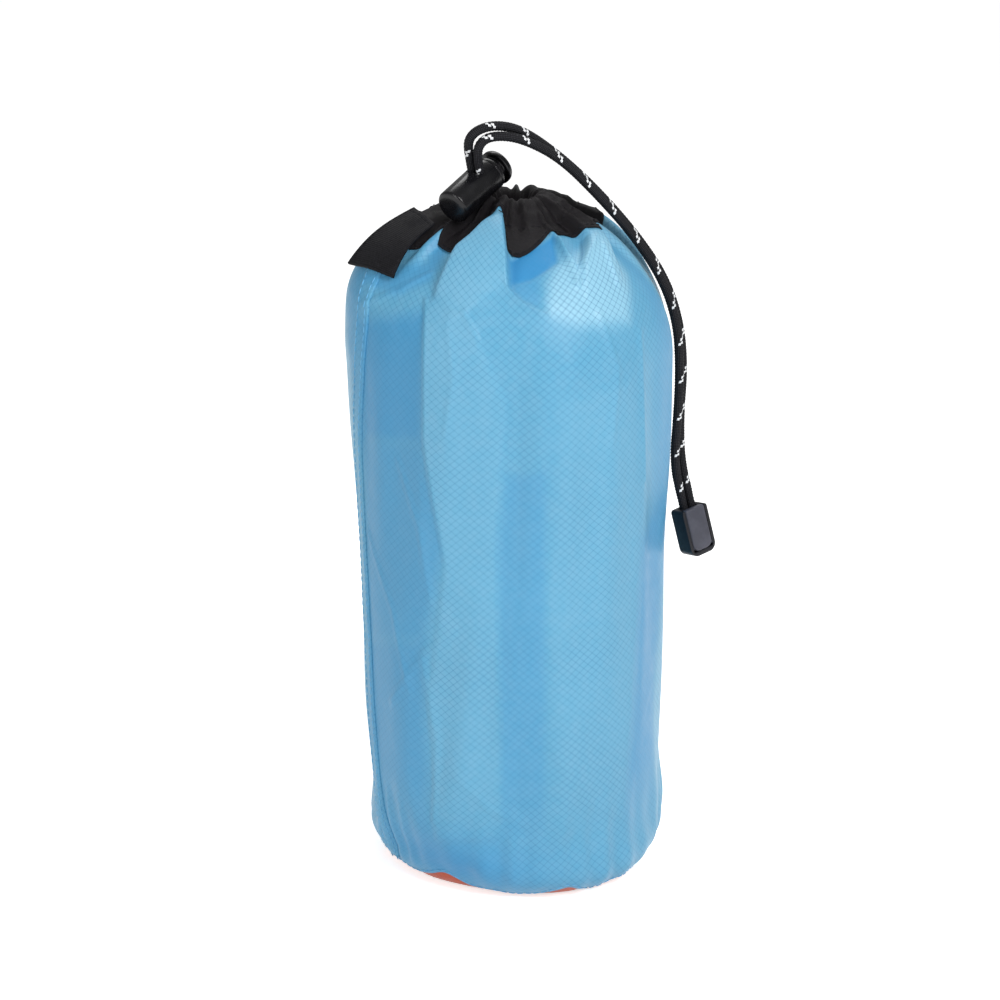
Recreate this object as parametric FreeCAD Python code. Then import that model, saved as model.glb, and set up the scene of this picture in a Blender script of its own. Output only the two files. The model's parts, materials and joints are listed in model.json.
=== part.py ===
"""Drawstring stuff sack with a cord lock and a clip on the cord's end, in mm.

The sack stands on its base. The origin is the middle of the base, on the face that it stands on.
+Z is up, -Y is the front and +X is to the right of someone who looks at the front.

Every fabric piece follows one meridian, the side view of the filled sack: a flat base, a round
corner, a slightly flared side, a round shoulder and a sloping crown that ends at the mouth.
The fabric stands in flat gores round the sack, one of them under the side seam, and the collar
is gathered into folds. The cord lock and the cord clip are each built in their own frame and
then put in place. Threads are left out.
"""

import FreeCAD
import Part
import math
import os
from FreeCAD import Vector

# ---------------------------------------------------------------------------
# Sizes, mm and degrees
# ---------------------------------------------------------------------------

# Filled sack
LOW_RADIUS = 53.6  # where the side leaves the base corner
FULL_RADIUS = 56.3  # where the side meets the shoulder
CORNER_RADIUS = 14.0  # rounding between the base and the side
SHOULDER_HEIGHT = 188.0  # height at which the shoulder starts
SHOULDER_RADIUS = 50.0  # rounding between the side and the crown
CROWN_SLOPE = 16.0  # rise of the crown above level
FABRIC = 1.0  # gauge of the fabric walls, a stiff stand-in for thin cloth
GORES = 36  # flats round the sack, an even number
CORNER_FLATS = 4  # flats along the corner's rounding
SHOULDER_FLATS = 6

# Base
BASE_SEAM_HEIGHT = 3.2  # height of the seam between base and side
BINDING_WIDTH = 8.0  # tape over the raw edges of the base seam, inside
BINDING = 0.9

# Side seam, a felled seam on one gore
SEAM_ANGLE = 199.0  # place round the sack, from +X towards +Y
SEAM_WIDTH = 7.0
SEAM_RIDGE = 0.8

# Collar, a folded strip that holds the drawcord in a tunnel round the mouth
COLLAR_LAP = 5.0  # how far the collar laps over the side panel
COLLAR_RADIUS = 34.5  # where the collar starts
TUNNEL_RING_RADIUS = 12.0  # centre line of the tunnel round the mouth
TUNNEL_BORE = 2.1
TUNNEL_DROP = 0.6  # tunnel centre below the crown
FOLD_DEPTH = 1.6  # gathers of the collar, every second one pulled in
FOLD_START = 0.6  # past the side panel's end
FOLD_RISE = 3.0  # from a fold's start to its full depth
FOLD_LENGTH = 9.0  # at its full depth

# Drawcord
CORD = 3.0
CORD_SIDES = 8  # the braid's section
CORD_SPACING = 3.3  # between the two strands in the lock
EXIT_ANGLE = 214.0
EXIT_CLEARANCE = 0.3  # round each strand in the exit hole
BUTTONHOLE_RIM = 1.3
BUTTONHOLE = 0.6
CORD_START_GAP = 1.0  # between the drawn ring and the strands' first points

# Cord lock
LOCK_HEADING = 50.0  # compass direction of the plunger's end
LOCK_RISE = 25.5
LOCK_ROLL = 6.5
LOCK_RADIUS = 6.0
LOCK_BORE = 4.42
LOCK_LENGTH = 22.6
LOCK_HOLE_FROM_TOP = 7.2
LOCK_DOME = ((0.55, 0.0), (0.87, 1.2), (1.0, 3.4))  # closed end, share of the radius and height
LOCK_FLOOR = 3.8  # closed end under the spring
LOCK_LIP = 0.5
LOCK_GAP = 0.3  # lock above the buttonhole
LOCK_TRAVEL = 2.5  # straight stretch of strands kept above the lock
PLUNGER_CLEARANCE = 0.08
PLUNGER_TRAVEL = 2.2
PLUNGER_RESERVE = 0.2  # gap left under the head when it is pressed
PLUNGER_SHANK = 14.2  # under the head
HEAD_RADIUS = 6.2
HEAD = 2.2
HEAD_EDGE = 0.7
HOLE_CLEARANCE = 0.15  # round each strand
SPRING_SEAT_DEPTH = 2.2
SPRING_SEAT_RADIUS = 2.95
SPRING_RADIUS = 2.35
SPRING_WIRE = 0.55
SPRING_TURNS = 4.5
SPRING_END_GAP = 0.1

# Label tab
LABEL_LENGTH = 24.0
LABEL_WIDTH = 23.0
LABEL = 0.8
LABEL_LIFT = 0.6  # over the stitches of the side seam
LABEL_OVERLAP = 1.5  # how far the label reaches over the collar's edge

# Clip on the cord's end
CLIP_CENTRE = Vector(64.7, 0.0, 121.5)
CLIP_LEAN = 13.9  # cord end leans to the left
CLIP_TURN = 35.0  # front face turned to the right
CLIP_LENGTH = 17.5
CLIP_WIDTH = 11.0
CLIP_THICKNESS = 7.0
CLIP_FOOT_ROUND = 3.0
CLIP_EDGE = 0.7
CLIP_STRAND_SPACING = 3.4
CLIP_STRAND_DROP = 0.5  # strands' centre line behind the middle of the clip
CLIP_STRAND_DEPTH = 9.0
CLIP_HOLE_CLEARANCE = 0.1
COVER_WIDTH = 8.4
COVER_CLEARANCE = 0.1
COVER_PROUD = 0.3
COVER_UNDERSIDE = 1.2  # in front of the middle of the clip
COVER_FOOT_WALL = 1.7
COVER_FOOT_ROUND = 2.4
POCKET_FOOT_ROUND = 0.3  # leaves the turning cover's corners room
TRUNNION_RADIUS = 0.8
TRUNNION_END = 4.9
TRUNNION_CLEARANCE = 0.05
TOOTH = 0.15
TOOTH_PITCH = 2.2
TEETH = 3
TIP = 0.8  # melted end of a strand

# Free strands, corners of each route between the lock and the clip
OUTER_ROUTE = [
    (-14.2, -17.2, 266.6),
    (-6.0, -14.0, 269.8),
    (4.1, -10.6, 265.2),
    (16.0, -7.4, 256.2),
    (29.9, -3.4, 243.6),
    (43.4, 1.2, 229.0),
    (54.2, 4.2, 214.8),
    (60.4, 3.0, 199.8),
    (61.9, 1.1, 184.5),
    (61.4, 0.5, 168.0),
    (61.0, 0.4, 151.0),
]
INNER_ROUTE = [
    (-8.7, -15.6, 264.5),
    (-1.6, -13.4, 263.7),
    (5.8, -11.4, 260.4),
    (15.3, -9.2, 253.5),
    (27.3, -6.0, 242.2),
    (40.4, -1.9, 227.8),
    (52.2, 0.3, 214.3),
    (57.9, 0.0, 199.0),
    (58.9, -1.4, 183.0),
    (58.4, -2.4, 166.8),
    (58.0, -2.8, 150.6),
]
RUN_BEFORE_BEND = 3.2  # from the lock's end of travel to the outer route's first corner
CLIP_RUN = 13.0  # from the clip's middle to each route's last corner
INNER_RUN_CUT = 0.4  # the inner strand turns sooner
TANGENT_SHARE = 0.45  # of the shorter run, used up by each bend


# ---------------------------------------------------------------------------
# Frames
# ---------------------------------------------------------------------------


def placed(shape, origin, x_axis, z_axis):
    """Moves a shape from its own frame to the sack's, by its origin and two of its axes."""
    y_axis = z_axis.cross(x_axis)
    turn = FreeCAD.Rotation(x_axis, y_axis, z_axis, "ZXY")
    moved = shape.copy()
    moved.Placement = FreeCAD.Placement(origin, turn).multiply(shape.Placement)
    return moved


def direction(heading, rise):
    """Unit vector from its compass direction and its rise, in degrees."""
    flat = math.cos(math.radians(rise))
    return Vector(
        flat * math.cos(math.radians(heading)),
        flat * math.sin(math.radians(heading)),
        math.sin(math.radians(rise)),
    )


# ---------------------------------------------------------------------------
# The meridian
# ---------------------------------------------------------------------------


class Meridian:
    """Side view of the filled sack, from the base's middle to the tunnel, measured along it."""

    def __init__(self):
        corner = (LOW_RADIUS - CORNER_RADIUS, CORNER_RADIUS)
        shoulder = (FULL_RADIUS - SHOULDER_RADIUS, SHOULDER_HEIGHT)
        apart = math.hypot(shoulder[0] - corner[0], shoulder[1] - corner[1])
        lean = math.atan2(shoulder[1] - corner[1], shoulder[0] - corner[0])
        side = lean - math.acos((CORNER_RADIUS - SHOULDER_RADIUS) / apart)
        crown = math.radians(90.0 - CROWN_SLOPE)
        self.points = [Vector(0, 0, 0)]
        self._round(corner, CORNER_RADIUS, -math.pi / 2, side, CORNER_FLATS)
        self._round(shoulder, SHOULDER_RADIUS, side, crown, SHOULDER_FLATS)
        length = (self.points[-1].x - TUNNEL_RING_RADIUS) / math.sin(crown)
        slope = Vector(-math.sin(crown), 0, math.cos(crown))
        self.points.append(self.points[-1] + slope * length)
        self.along = [0.0]
        for p, q in zip(self.points, self.points[1:]):
            self.along.append(self.along[-1] + p.distanceToPoint(q))
        self.end = self.along[-1]

    def _round(self, centre, radius, begin, finish, flats):
        """Adds a rounding as flats whose corners lie on its arc."""
        for i in range(flats + 1):
            angle = begin + (finish - begin) * i / flats
            reach = Vector(math.cos(angle), 0, math.sin(angle)) * radius
            self.points.append(Vector(centre[0], 0, centre[1]) + reach)

    def _normal(self, flat):
        run = (self.points[flat + 1] - self.points[flat]).normalize()
        return Vector(run.z, 0, -run.x)

    def _corner(self, i, out):
        """Corner between two flats, moved out so that both flats keep their distance."""
        before = self._normal(i - 1)
        after = self._normal(i)
        return self.points[i] + (before + after) * (out / (1 + before.dot(after)))

    def at(self, along, out):
        """Point of the XZ plane, this far along the meridian and out from it."""
        flat = max(i for i in range(len(self.points) - 1) if self.along[i] <= along)
        run = (self.points[flat + 1] - self.points[flat]).normalize()
        return self.points[flat] + run * (along - self.along[flat]) + self._normal(flat) * out

    def at_height(self, height):
        """How far along the meridian the sack has this height."""
        above = next(i for i, p in enumerate(self.points) if p.z > height)
        low = self.points[above - 1]
        rise = (height - low.z) / (self.points[above].z - low.z)
        return self.along[above - 1] + rise * (self.along[above] - self.along[above - 1])

    def at_radius(self, radius):
        """How far along the meridian the crown narrows to this radius."""
        last = max(i for i, p in enumerate(self.points) if p.x >= radius)
        here = self.points[last]
        narrowing = (here.x - radius) / (here.x - self.points[last + 1].x)
        return self.along[last] + narrowing * (self.along[last + 1] - self.along[last])

    def line(self, start, stop, out, extra=()):
        """Points of the curve at this distance out, with extra places along it."""
        places = [(a, self.at(a, out)) for a in (start, stop, *extra)]
        for i, a in enumerate(self.along):
            if start < a < stop:
                places.append((a, self._corner(i, out)))
        return [point for _, point in sorted(places, key=lambda place: place[0])]

    def section(self, start, stop, inner, outer, extra=()):
        """Outline of a strip of the XZ plane between two distances out."""
        inside = self.line(start, stop, inner, extra)
        outside = self.line(start, stop, outer, extra)
        return inside + outside[::-1]

    def band(self, start, stop, inner, outer):
        """A strip in gores all round the sack."""
        return gored(self.section(start, stop, inner, outer))

    def flap(self, start, stop, inner, outer, width, angle):
        """A strip of constant width that is flat across, at this angle round the sack."""
        outline = self.section(start, stop, inner, outer)
        face = Part.Face(Part.makePolygon(outline + outline[:1]))
        face.translate(Vector(0, -width / 2, 0))
        solid = face.extrude(Vector(0, width, 0))
        solid.rotate(Vector(0, 0, 0), Vector(0, 0, 1), angle)
        return solid


def gored(outline, fold=None):
    """Solid that an outline of the XZ plane makes in gores round the sack's axis.

    The outline's X is the distance of a gore's flat. fold gives how far a point moves on every
    second corner line.
    """
    step = 360.0 / GORES
    stretch = 1 / math.cos(math.radians(step / 2))
    lines = []
    for i in range(GORES):
        turn = FreeCAD.Rotation(Vector(0, 0, 1), SEAM_ANGLE + (i + 0.5) * step)
        moved = [p + fold(p) for p in outline] if fold and i % 2 else outline
        lines.append([turn.multVec(Vector(p.x * stretch, 0, p.z)) for p in moved])
    faces = []
    for this, other in zip(lines, lines[1:] + lines[:1]):
        for j in range(len(outline)):
            k = (j + 1) % len(outline)
            for corners in ((this[j], this[k], other[k]), (this[j], other[k], other[j])):
                if min(p.distanceToPoint(q) for p, q in zip(corners, corners[1:] + corners[:1])) > 1e-6:
                    faces.append(Part.Face(Part.makePolygon(corners + corners[:1])))
    solid = Part.Solid(Part.makeShell(faces))
    if solid.Volume < 0:
        solid.reverse()
    return solid.removeSplitter()


def many_sided(centre, radius, sides):
    """Outline in the XZ plane whose sides all lie this far from the centre."""
    reach = radius / math.cos(math.pi / sides)
    outline = []
    for i in range(sides):
        angle = 2 * math.pi * (i + 0.5) / sides
        outline.append(centre + Vector(math.cos(angle), 0, math.sin(angle)) * reach)
    return outline


MERIDIAN = Meridian()


# ---------------------------------------------------------------------------
# Fabric
# ---------------------------------------------------------------------------


def base_pieces():
    """The base and the tape over its seam inside."""
    seam = MERIDIAN.at_height(BASE_SEAM_HEIGHT)
    low = seam - BINDING_WIDTH / 2
    high = seam + BINDING_WIDTH / 2
    return {
        "base_panel": MERIDIAN.band(0.0, seam, -FABRIC, 0.0),
        "base_binding": MERIDIAN.band(low, high, -FABRIC - BINDING, -FABRIC),
    }


def collar_start():
    return MERIDIAN.at_radius(COLLAR_RADIUS)


def side_pieces():
    """The side panel and its felled seam."""
    seam = MERIDIAN.at_height(BASE_SEAM_HEIGHT)
    top = collar_start()
    return {
        "body_panel": MERIDIAN.band(seam, top + COLLAR_LAP, -FABRIC, 0.0),
        "side_seam": MERIDIAN.flap(seam, top, 0.0, SEAM_RIDGE, SEAM_WIDTH, SEAM_ANGLE),
    }


def tunnel_centre():
    """Centre of the tunnel's section, in the XZ plane."""
    return MERIDIAN.at(MERIDIAN.end, -TUNNEL_DROP)


def exit_point():
    """Where the two strands leave the ring, on the tunnel's centre line."""
    centre = tunnel_centre()
    turn = FreeCAD.Rotation(Vector(0, 0, 1), EXIT_ANGLE)
    return turn.multVec(centre)


def lock_axes():
    """The lock's own axes: between the strands, and along the barrel to the plunger."""
    barrel = direction(LOCK_HEADING, LOCK_RISE)
    level = barrel.cross(Vector(0, 0, 1)).normalize()
    upright = level.cross(barrel).normalize()
    roll = math.radians(LOCK_ROLL)
    strands_run = upright * math.cos(roll) + level * math.sin(roll)
    across = barrel.cross(strands_run).normalize()
    return across, barrel


def strand_run():
    """Direction in which the strands pass through the lock, away from the collar."""
    across, barrel = lock_axes()
    return across.cross(barrel).normalize()


def oblong(length, width, height):
    """Upright prism with round ends, its length along X, its foot at the origin."""
    half = length / 2 - width / 2
    prism = Part.makeBox(2 * half, width, height, Vector(-half, -width / 2, 0))
    for x in (-half, half):
        prism = prism.fuse(Part.makeCylinder(width / 2, height, Vector(x, 0, 0)))
    return prism.removeSplitter()


def exit_slot_size():
    width = CORD + 2 * EXIT_CLEARANCE
    return CORD_SPACING + width, width


def tunnel_outside():
    return TUNNEL_BORE + FABRIC


def tunnel_tube(radius):
    """Ring round the mouth, on the tunnel's centre line."""
    return gored(many_sided(tunnel_centre(), radius, CORD_SIDES))


def collar_strip():
    """The collar's slope, gathered into folds between its seam and the tunnel."""
    start = collar_start()
    flat_to = start + COLLAR_LAP + FOLD_START
    low = flat_to + FOLD_RISE
    high = low + FOLD_LENGTH
    outline = MERIDIAN.section(start, MERIDIAN.end, 0.0, FABRIC, (flat_to, low, high))
    inward = (MERIDIAN.at(low, 0.0) - MERIDIAN.at(low, 1.0)) * FOLD_DEPTH
    folded = MERIDIAN.section(low, high, 0.0, FABRIC)

    def fold(point):
        in_fold = any(point.distanceToPoint(p) < 1e-6 for p in folded)
        return inward if in_fold else Vector(0, 0, 0)

    return gored(outline, fold)


def collar_pieces():
    """The collar with its tunnel, and the cords' buttonhole."""
    strip = collar_strip()
    tube = tunnel_tube(tunnel_outside())
    across, barrel = lock_axes()
    run = strand_run()
    length, width = exit_slot_size()
    slot = placed(oblong(length, width, 2 * tunnel_outside()), exit_point(), across, run)
    collar = strip.fuse(tube).cut(tunnel_tube(TUNNEL_BORE)).cut(slot).removeSplitter()

    rim = 2 * BUTTONHOLE_RIM
    patch = oblong(length + rim, width + rim, 2 * tunnel_outside())
    patch = placed(patch, exit_point() + run * TUNNEL_BORE, across, run)
    skin = tunnel_tube(tunnel_outside() + BUTTONHOLE)
    return {
        "collar_tunnel": collar,
        "exit_buttonhole": skin.common(patch).cut(slot).cut(tube).cut(strip),
    }


def label_pieces():
    """The label tab over the side seam, sewn on at its upper edge."""
    stop = collar_start() + LABEL_OVERLAP
    start = stop - LABEL_LENGTH
    inner = max(FABRIC, SEAM_RIDGE) + LABEL_LIFT
    tab = MERIDIAN.flap(start, stop, inner, inner + LABEL, LABEL_WIDTH, SEAM_ANGLE)
    return {"label_tab": tab}


# ---------------------------------------------------------------------------
# Cord lock: own frame with X between the strands and Z along the barrel to the plunger's head
# ---------------------------------------------------------------------------


def lock_origin():
    """Where the strands' middle crosses the barrel's axis."""
    height = tunnel_outside() + BUTTONHOLE + LOCK_GAP + LOCK_RADIUS
    return exit_point() + strand_run() * height


def strand_hole(extra):
    """Hole for both strands along Y, longer towards the head by the given length."""
    radius = CORD / 2 + HOLE_CLEARANCE
    half = CORD_SPACING / 2 + radius
    depth = 4 * LOCK_RADIUS
    hole = Part.makeBox(
        2 * half, depth, 2 * radius + extra, Vector(-half, -depth / 2, -radius)
    )
    upright = [e for e in hole.Edges if abs(e.tangentAt(e.FirstParameter).y) > 0.5]
    return hole.makeFillet(0.95 * radius, upright)


def lock_barrel():
    """Closed at its round end, bored for the plunger, with a slot for both strands."""
    top = LOCK_HOLE_FROM_TOP
    foot = top - LOCK_LENGTH
    outline = [Vector(0, 0, foot)]
    outline += [Vector(LOCK_RADIUS * share, 0, foot + height) for share, height in LOCK_DOME]
    outline += [
        Vector(LOCK_RADIUS, 0, top - LOCK_LIP),
        Vector(LOCK_RADIUS - LOCK_LIP, 0, top),
        Vector(0, 0, top),
        Vector(0, 0, foot),
    ]
    body = Part.Face(Part.makePolygon(outline)).revolve(Vector(0, 0, 0), Vector(0, 0, 1))
    bore = Part.makeCylinder(LOCK_BORE, LOCK_LENGTH, Vector(0, 0, foot + LOCK_FLOOR))
    return body.cut(bore).cut(strand_hole(0.0))


def head_underside():
    return LOCK_HOLE_FROM_TOP + PLUNGER_TRAVEL + PLUNGER_RESERVE


def plunger_foot():
    return head_underside() - PLUNGER_SHANK


def lock_plunger():
    """Shank with its own strand slot, a seat for the spring, and a wider head."""
    under = head_underside()
    foot = plunger_foot()
    shank = Part.makeCylinder(
        LOCK_BORE - PLUNGER_CLEARANCE, under - foot, Vector(0, 0, foot)
    )
    head = Part.makeCylinder(HEAD_RADIUS, HEAD, Vector(0, 0, under))
    head = head.makeChamfer(HEAD_EDGE, [max(head.Edges, key=lambda e: e.CenterOfMass.z)])
    seat = Part.makeCylinder(SPRING_SEAT_RADIUS, SPRING_SEAT_DEPTH, Vector(0, 0, foot))
    return shank.fuse(head).cut(seat).cut(strand_hole(PLUNGER_TRAVEL)).removeSplitter()


def lock_spring():
    """Compression spring between the barrel's floor and the plunger's seat."""
    low = LOCK_HOLE_FROM_TOP - LOCK_LENGTH + LOCK_FLOOR + SPRING_END_GAP + SPRING_WIRE / 2
    high = plunger_foot() + SPRING_SEAT_DEPTH - SPRING_END_GAP - SPRING_WIRE / 2
    helix = Part.makeHelix((high - low) / SPRING_TURNS, high - low, SPRING_RADIUS)
    half = SPRING_WIRE / 2
    corners = [(-half, -half), (half, -half), (half, half), (-half, half), (-half, -half)]
    wire = Part.makePolygon([Vector(SPRING_RADIUS + x, 0, z) for x, z in corners])
    spring = Part.Wire(helix).makePipeShell([wire], True, True)
    spring.translate(Vector(0, 0, low))
    return spring


def lock_pieces():
    across, barrel = lock_axes()
    own = {
        "lock_barrel": lock_barrel(),
        "lock_plunger": lock_plunger(),
        "lock_spring": lock_spring(),
    }
    return {n: placed(s, lock_origin(), across, barrel) for n, s in own.items()}


# ---------------------------------------------------------------------------
# Cord clip: own frame with X out of the front, Y across and Z towards the cord
# ---------------------------------------------------------------------------


def clip_axes():
    """The clip's own axes: out of its front, across it, and along it towards the cord."""
    lean = math.radians(CLIP_LEAN)
    along = Vector(-math.sin(lean), 0, math.cos(lean))
    turn = math.radians(CLIP_TURN)
    front = Vector(math.sin(turn), -math.cos(turn), 0)
    front = (front - along * front.dot(along)).normalize()
    across = along.cross(front).normalize()
    return front, across, along


def tongue(width, foot, top, foot_round, back, front):
    """Flat plate in the clip's frame, with its two lower corners rounded."""
    plate = Part.makeBox(front - back, width, top - foot, Vector(back, -width / 2, foot))
    corners = [
        e
        for e in plate.Edges
        if abs(e.tangentAt(e.FirstParameter).x) > 0.5 and e.CenterOfMass.z < foot + 0.01
    ]
    return plate.makeFillet(foot_round, corners)


def hinge_place():
    """Height and depth of the cover's hinge in the clip's frame, and the cover's half gauge."""
    front = CLIP_THICKNESS / 2 + COVER_PROUD
    half = (front - COVER_UNDERSIDE) / 2
    foot = -CLIP_LENGTH / 2 + COVER_FOOT_WALL
    return COVER_UNDERSIDE + half, foot + half, half


def cover_foot():
    return -CLIP_LENGTH / 2 + COVER_FOOT_WALL


def clip_base():
    """Block with a pocket for the cover, two strand holes and two hinge sockets."""
    half = CLIP_THICKNESS / 2
    top = CLIP_LENGTH / 2
    block = tongue(CLIP_WIDTH, -top, top, CLIP_FOOT_ROUND, -half, half)
    rear = [e for e in block.Edges if e.BoundBox.XMax < -half + 0.01]
    block = block.makeChamfer(CLIP_EDGE, rear)
    gap = COVER_CLEARANCE
    pocket = tongue(
        COVER_WIDTH + 2 * gap,
        cover_foot() - gap,
        top + CLIP_EDGE,
        POCKET_FOOT_ROUND,
        COVER_UNDERSIDE - gap,
        half + CLIP_EDGE,
    )
    block = block.cut(pocket)
    radius = CORD / 2 + CLIP_HOLE_CLEARANCE
    depth = CLIP_STRAND_DEPTH + TIP + CLIP_HOLE_CLEARANCE
    floor = top - depth
    to_pocket = COVER_UNDERSIDE + CLIP_STRAND_DROP
    for y in (-CLIP_STRAND_SPACING / 2, CLIP_STRAND_SPACING / 2):
        hole = Part.makeCylinder(radius, depth, Vector(-CLIP_STRAND_DROP, y, floor))
        corner = Vector(-CLIP_STRAND_DROP, y - radius, floor)
        way_in = Part.makeBox(to_pocket, 2 * radius, depth, corner)
        block = block.cut(hole.fuse(way_in))
    corner = Vector(-CLIP_STRAND_DROP, -CLIP_STRAND_SPACING / 2, floor)
    block = block.cut(Part.makeBox(to_pocket, CLIP_STRAND_SPACING, depth, corner))
    depth, height, _ = hinge_place()
    reach = TRUNNION_END + TRUNNION_CLEARANCE
    socket = Part.makeCylinder(
        TRUNNION_RADIUS + TRUNNION_CLEARANCE,
        2 * reach,
        Vector(depth, -reach, height),
        Vector(0, 1, 0),
    )
    return block.cut(socket).removeSplitter()


def clip_cover():
    """Plate that turns on two trunnions at its foot, with teeth that face the strands."""
    depth, height, half = hinge_place()
    top = CLIP_LENGTH / 2
    front = depth + half
    plate = tongue(
        COVER_WIDTH, cover_foot(), top, COVER_FOOT_ROUND, COVER_UNDERSIDE, front
    )
    rolled = Part.makeCylinder(
        half, COVER_WIDTH, Vector(depth, -COVER_WIDTH / 2, height), Vector(0, 1, 0)
    )
    upper = Part.makeBox(
        2 * half, COVER_WIDTH, top - height, Vector(COVER_UNDERSIDE, -COVER_WIDTH / 2, height)
    )
    plate = plate.common(rolled.fuse(upper))
    pins = Part.makeCylinder(
        TRUNNION_RADIUS, 2 * TRUNNION_END, Vector(depth, -TRUNNION_END, height), Vector(0, 1, 0)
    )
    plate = plate.fuse(pins)
    width = 2 * CLIP_STRAND_SPACING - CORD
    for i in range(TEETH):
        z = top - (i + 1) * TOOTH_PITCH
        ridge = Part.makeCylinder(
            TOOTH, width, Vector(COVER_UNDERSIDE, -width / 2, z), Vector(0, 1, 0)
        )
        plate = plate.fuse(ridge)
    return plate.removeSplitter()


def strand_in_clip(side, along):
    """Point on a strand's centre line in the clip, this far along from its middle."""
    front, across, axis = clip_axes()
    offset = front * -CLIP_STRAND_DROP + across * (side * CLIP_STRAND_SPACING / 2)
    return CLIP_CENTRE + offset + axis * along


def strand_end():
    return CLIP_LENGTH / 2 - CLIP_STRAND_DEPTH


def clip_pieces():
    front, across, along = clip_axes()
    tips = []
    for side in (-1, 1):
        low = strand_in_clip(side, strand_end() - TIP)
        tips.append(Part.makeCylinder(CORD / 2, TIP, low, along))
    return {
        "clip_base": placed(clip_base(), CLIP_CENTRE, front, along),
        "clip_cover": placed(clip_cover(), CLIP_CENTRE, front, along),
        "cord_tips": Part.makeCompound(tips),
    }


# ---------------------------------------------------------------------------
# Drawcord
# ---------------------------------------------------------------------------


def rounded_path(points):
    """Straight runs joined by tangent arcs, each as large as its two runs allow."""
    edges = []
    last = points[0]
    radii = []
    for before, corner, after in zip(points, points[1:], points[2:]):
        come = (corner - before).normalize()
        leave = (after - corner).normalize()
        short = min(before.distanceToPoint(corner), corner.distanceToPoint(after))
        cut = TANGENT_SHARE * short
        turn = come.getAngle(leave)
        radius = cut / math.tan(turn / 2)
        radii.append(radius)
        first = corner - come * cut
        finish = corner + leave * cut
        inward = (leave - come).normalize()
        sagitta = radius / math.cos(turn / 2) - radius
        edges.append(Part.LineSegment(last, first).toShape())
        edges.append(Part.Arc(first, corner + inward * sagitta, finish).toShape())
        last = finish
    edges.append(Part.LineSegment(last, points[-1]).toShape())
    return Part.Wire(edges), radii


def cord_section():
    """The braid's outline in the XY plane, its corners on the cord's own circle."""
    outline = []
    for i in range(CORD_SIDES):
        angle = 2 * math.pi * i / CORD_SIDES
        outline.append(Vector(math.cos(angle), math.sin(angle), 0) * (CORD / 2))
    return outline


def strand(name, points):
    """A tube along the rounded path."""
    path, radii = rounded_path(points)
    start = (points[1] - points[0]).normalize()
    up = start.cross(Vector(1, 0, 0)).normalize()
    outline = cord_section()
    ring = Part.makePolygon(outline + outline[:1])
    tube = path.makePipeShell([placed(ring, points[0], up, start)], True, False)
    expected = Part.Face(ring).Area * path.Length
    print(name, "length", round(path.Length, 1), "tightest radius", round(min(radii), 1))
    print("   radii", [round(r, 1) for r in radii])
    print("   volume / (section x length)", round(tube.Volume / expected, 4))
    return tube


def drawcord_pieces():
    """The ring in the tunnel and the two free strands to the clip."""
    ring = tunnel_tube(CORD / 2 * math.cos(math.pi / CORD_SIDES))
    across, barrel = lock_axes()
    run = strand_run()
    begin = CORD / 2 + CORD_START_GAP
    bend = (
        lock_origin().distanceToPoint(exit_point())
        + LOCK_RADIUS
        + LOCK_TRAVEL
        + RUN_BEFORE_BEND
    )
    pieces = {"drawcord_ring": ring}
    strands = (
        ("drawcord_outer", -1, 1, OUTER_ROUTE, 0.0),
        ("drawcord_inner", 1, -1, INNER_ROUTE, INNER_RUN_CUT),
    )
    for name, lock_side, clip_side, route, cut in strands:
        foot = exit_point() + across * (lock_side * CORD_SPACING / 2)
        points = [foot + run * begin, foot + run * (bend - cut)]
        points += [Vector(*p) for p in route]
        points.append(strand_in_clip(clip_side, CLIP_RUN))
        points.append(strand_in_clip(clip_side, strand_end()))
        pieces[name] = strand(name, points)
    return pieces


# ---------------------------------------------------------------------------
# Files
# ---------------------------------------------------------------------------


def main():
    os.makedirs("parts", exist_ok=True)
    pieces = {}
    makers = (
        base_pieces,
        side_pieces,
        collar_pieces,
        label_pieces,
        drawcord_pieces,
        lock_pieces,
        clip_pieces,
    )
    for make in makers:
        pieces.update(make())
    for name, shape in pieces.items():
        shape.exportStep(os.path.join("parts", name + ".step"))
        solids = len(shape.Solids)
        print(name, "valid" if shape.isValid() else "INVALID", solids, round(shape.Volume, 1))


main()
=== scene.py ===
"""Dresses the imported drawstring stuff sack: cloth, stitches, drawcord, lock, clip, floor and light."""

import json
import logging
import math
from dataclasses import dataclass, field
from enum import Enum
from typing import Mapping, Optional, Sequence

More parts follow.
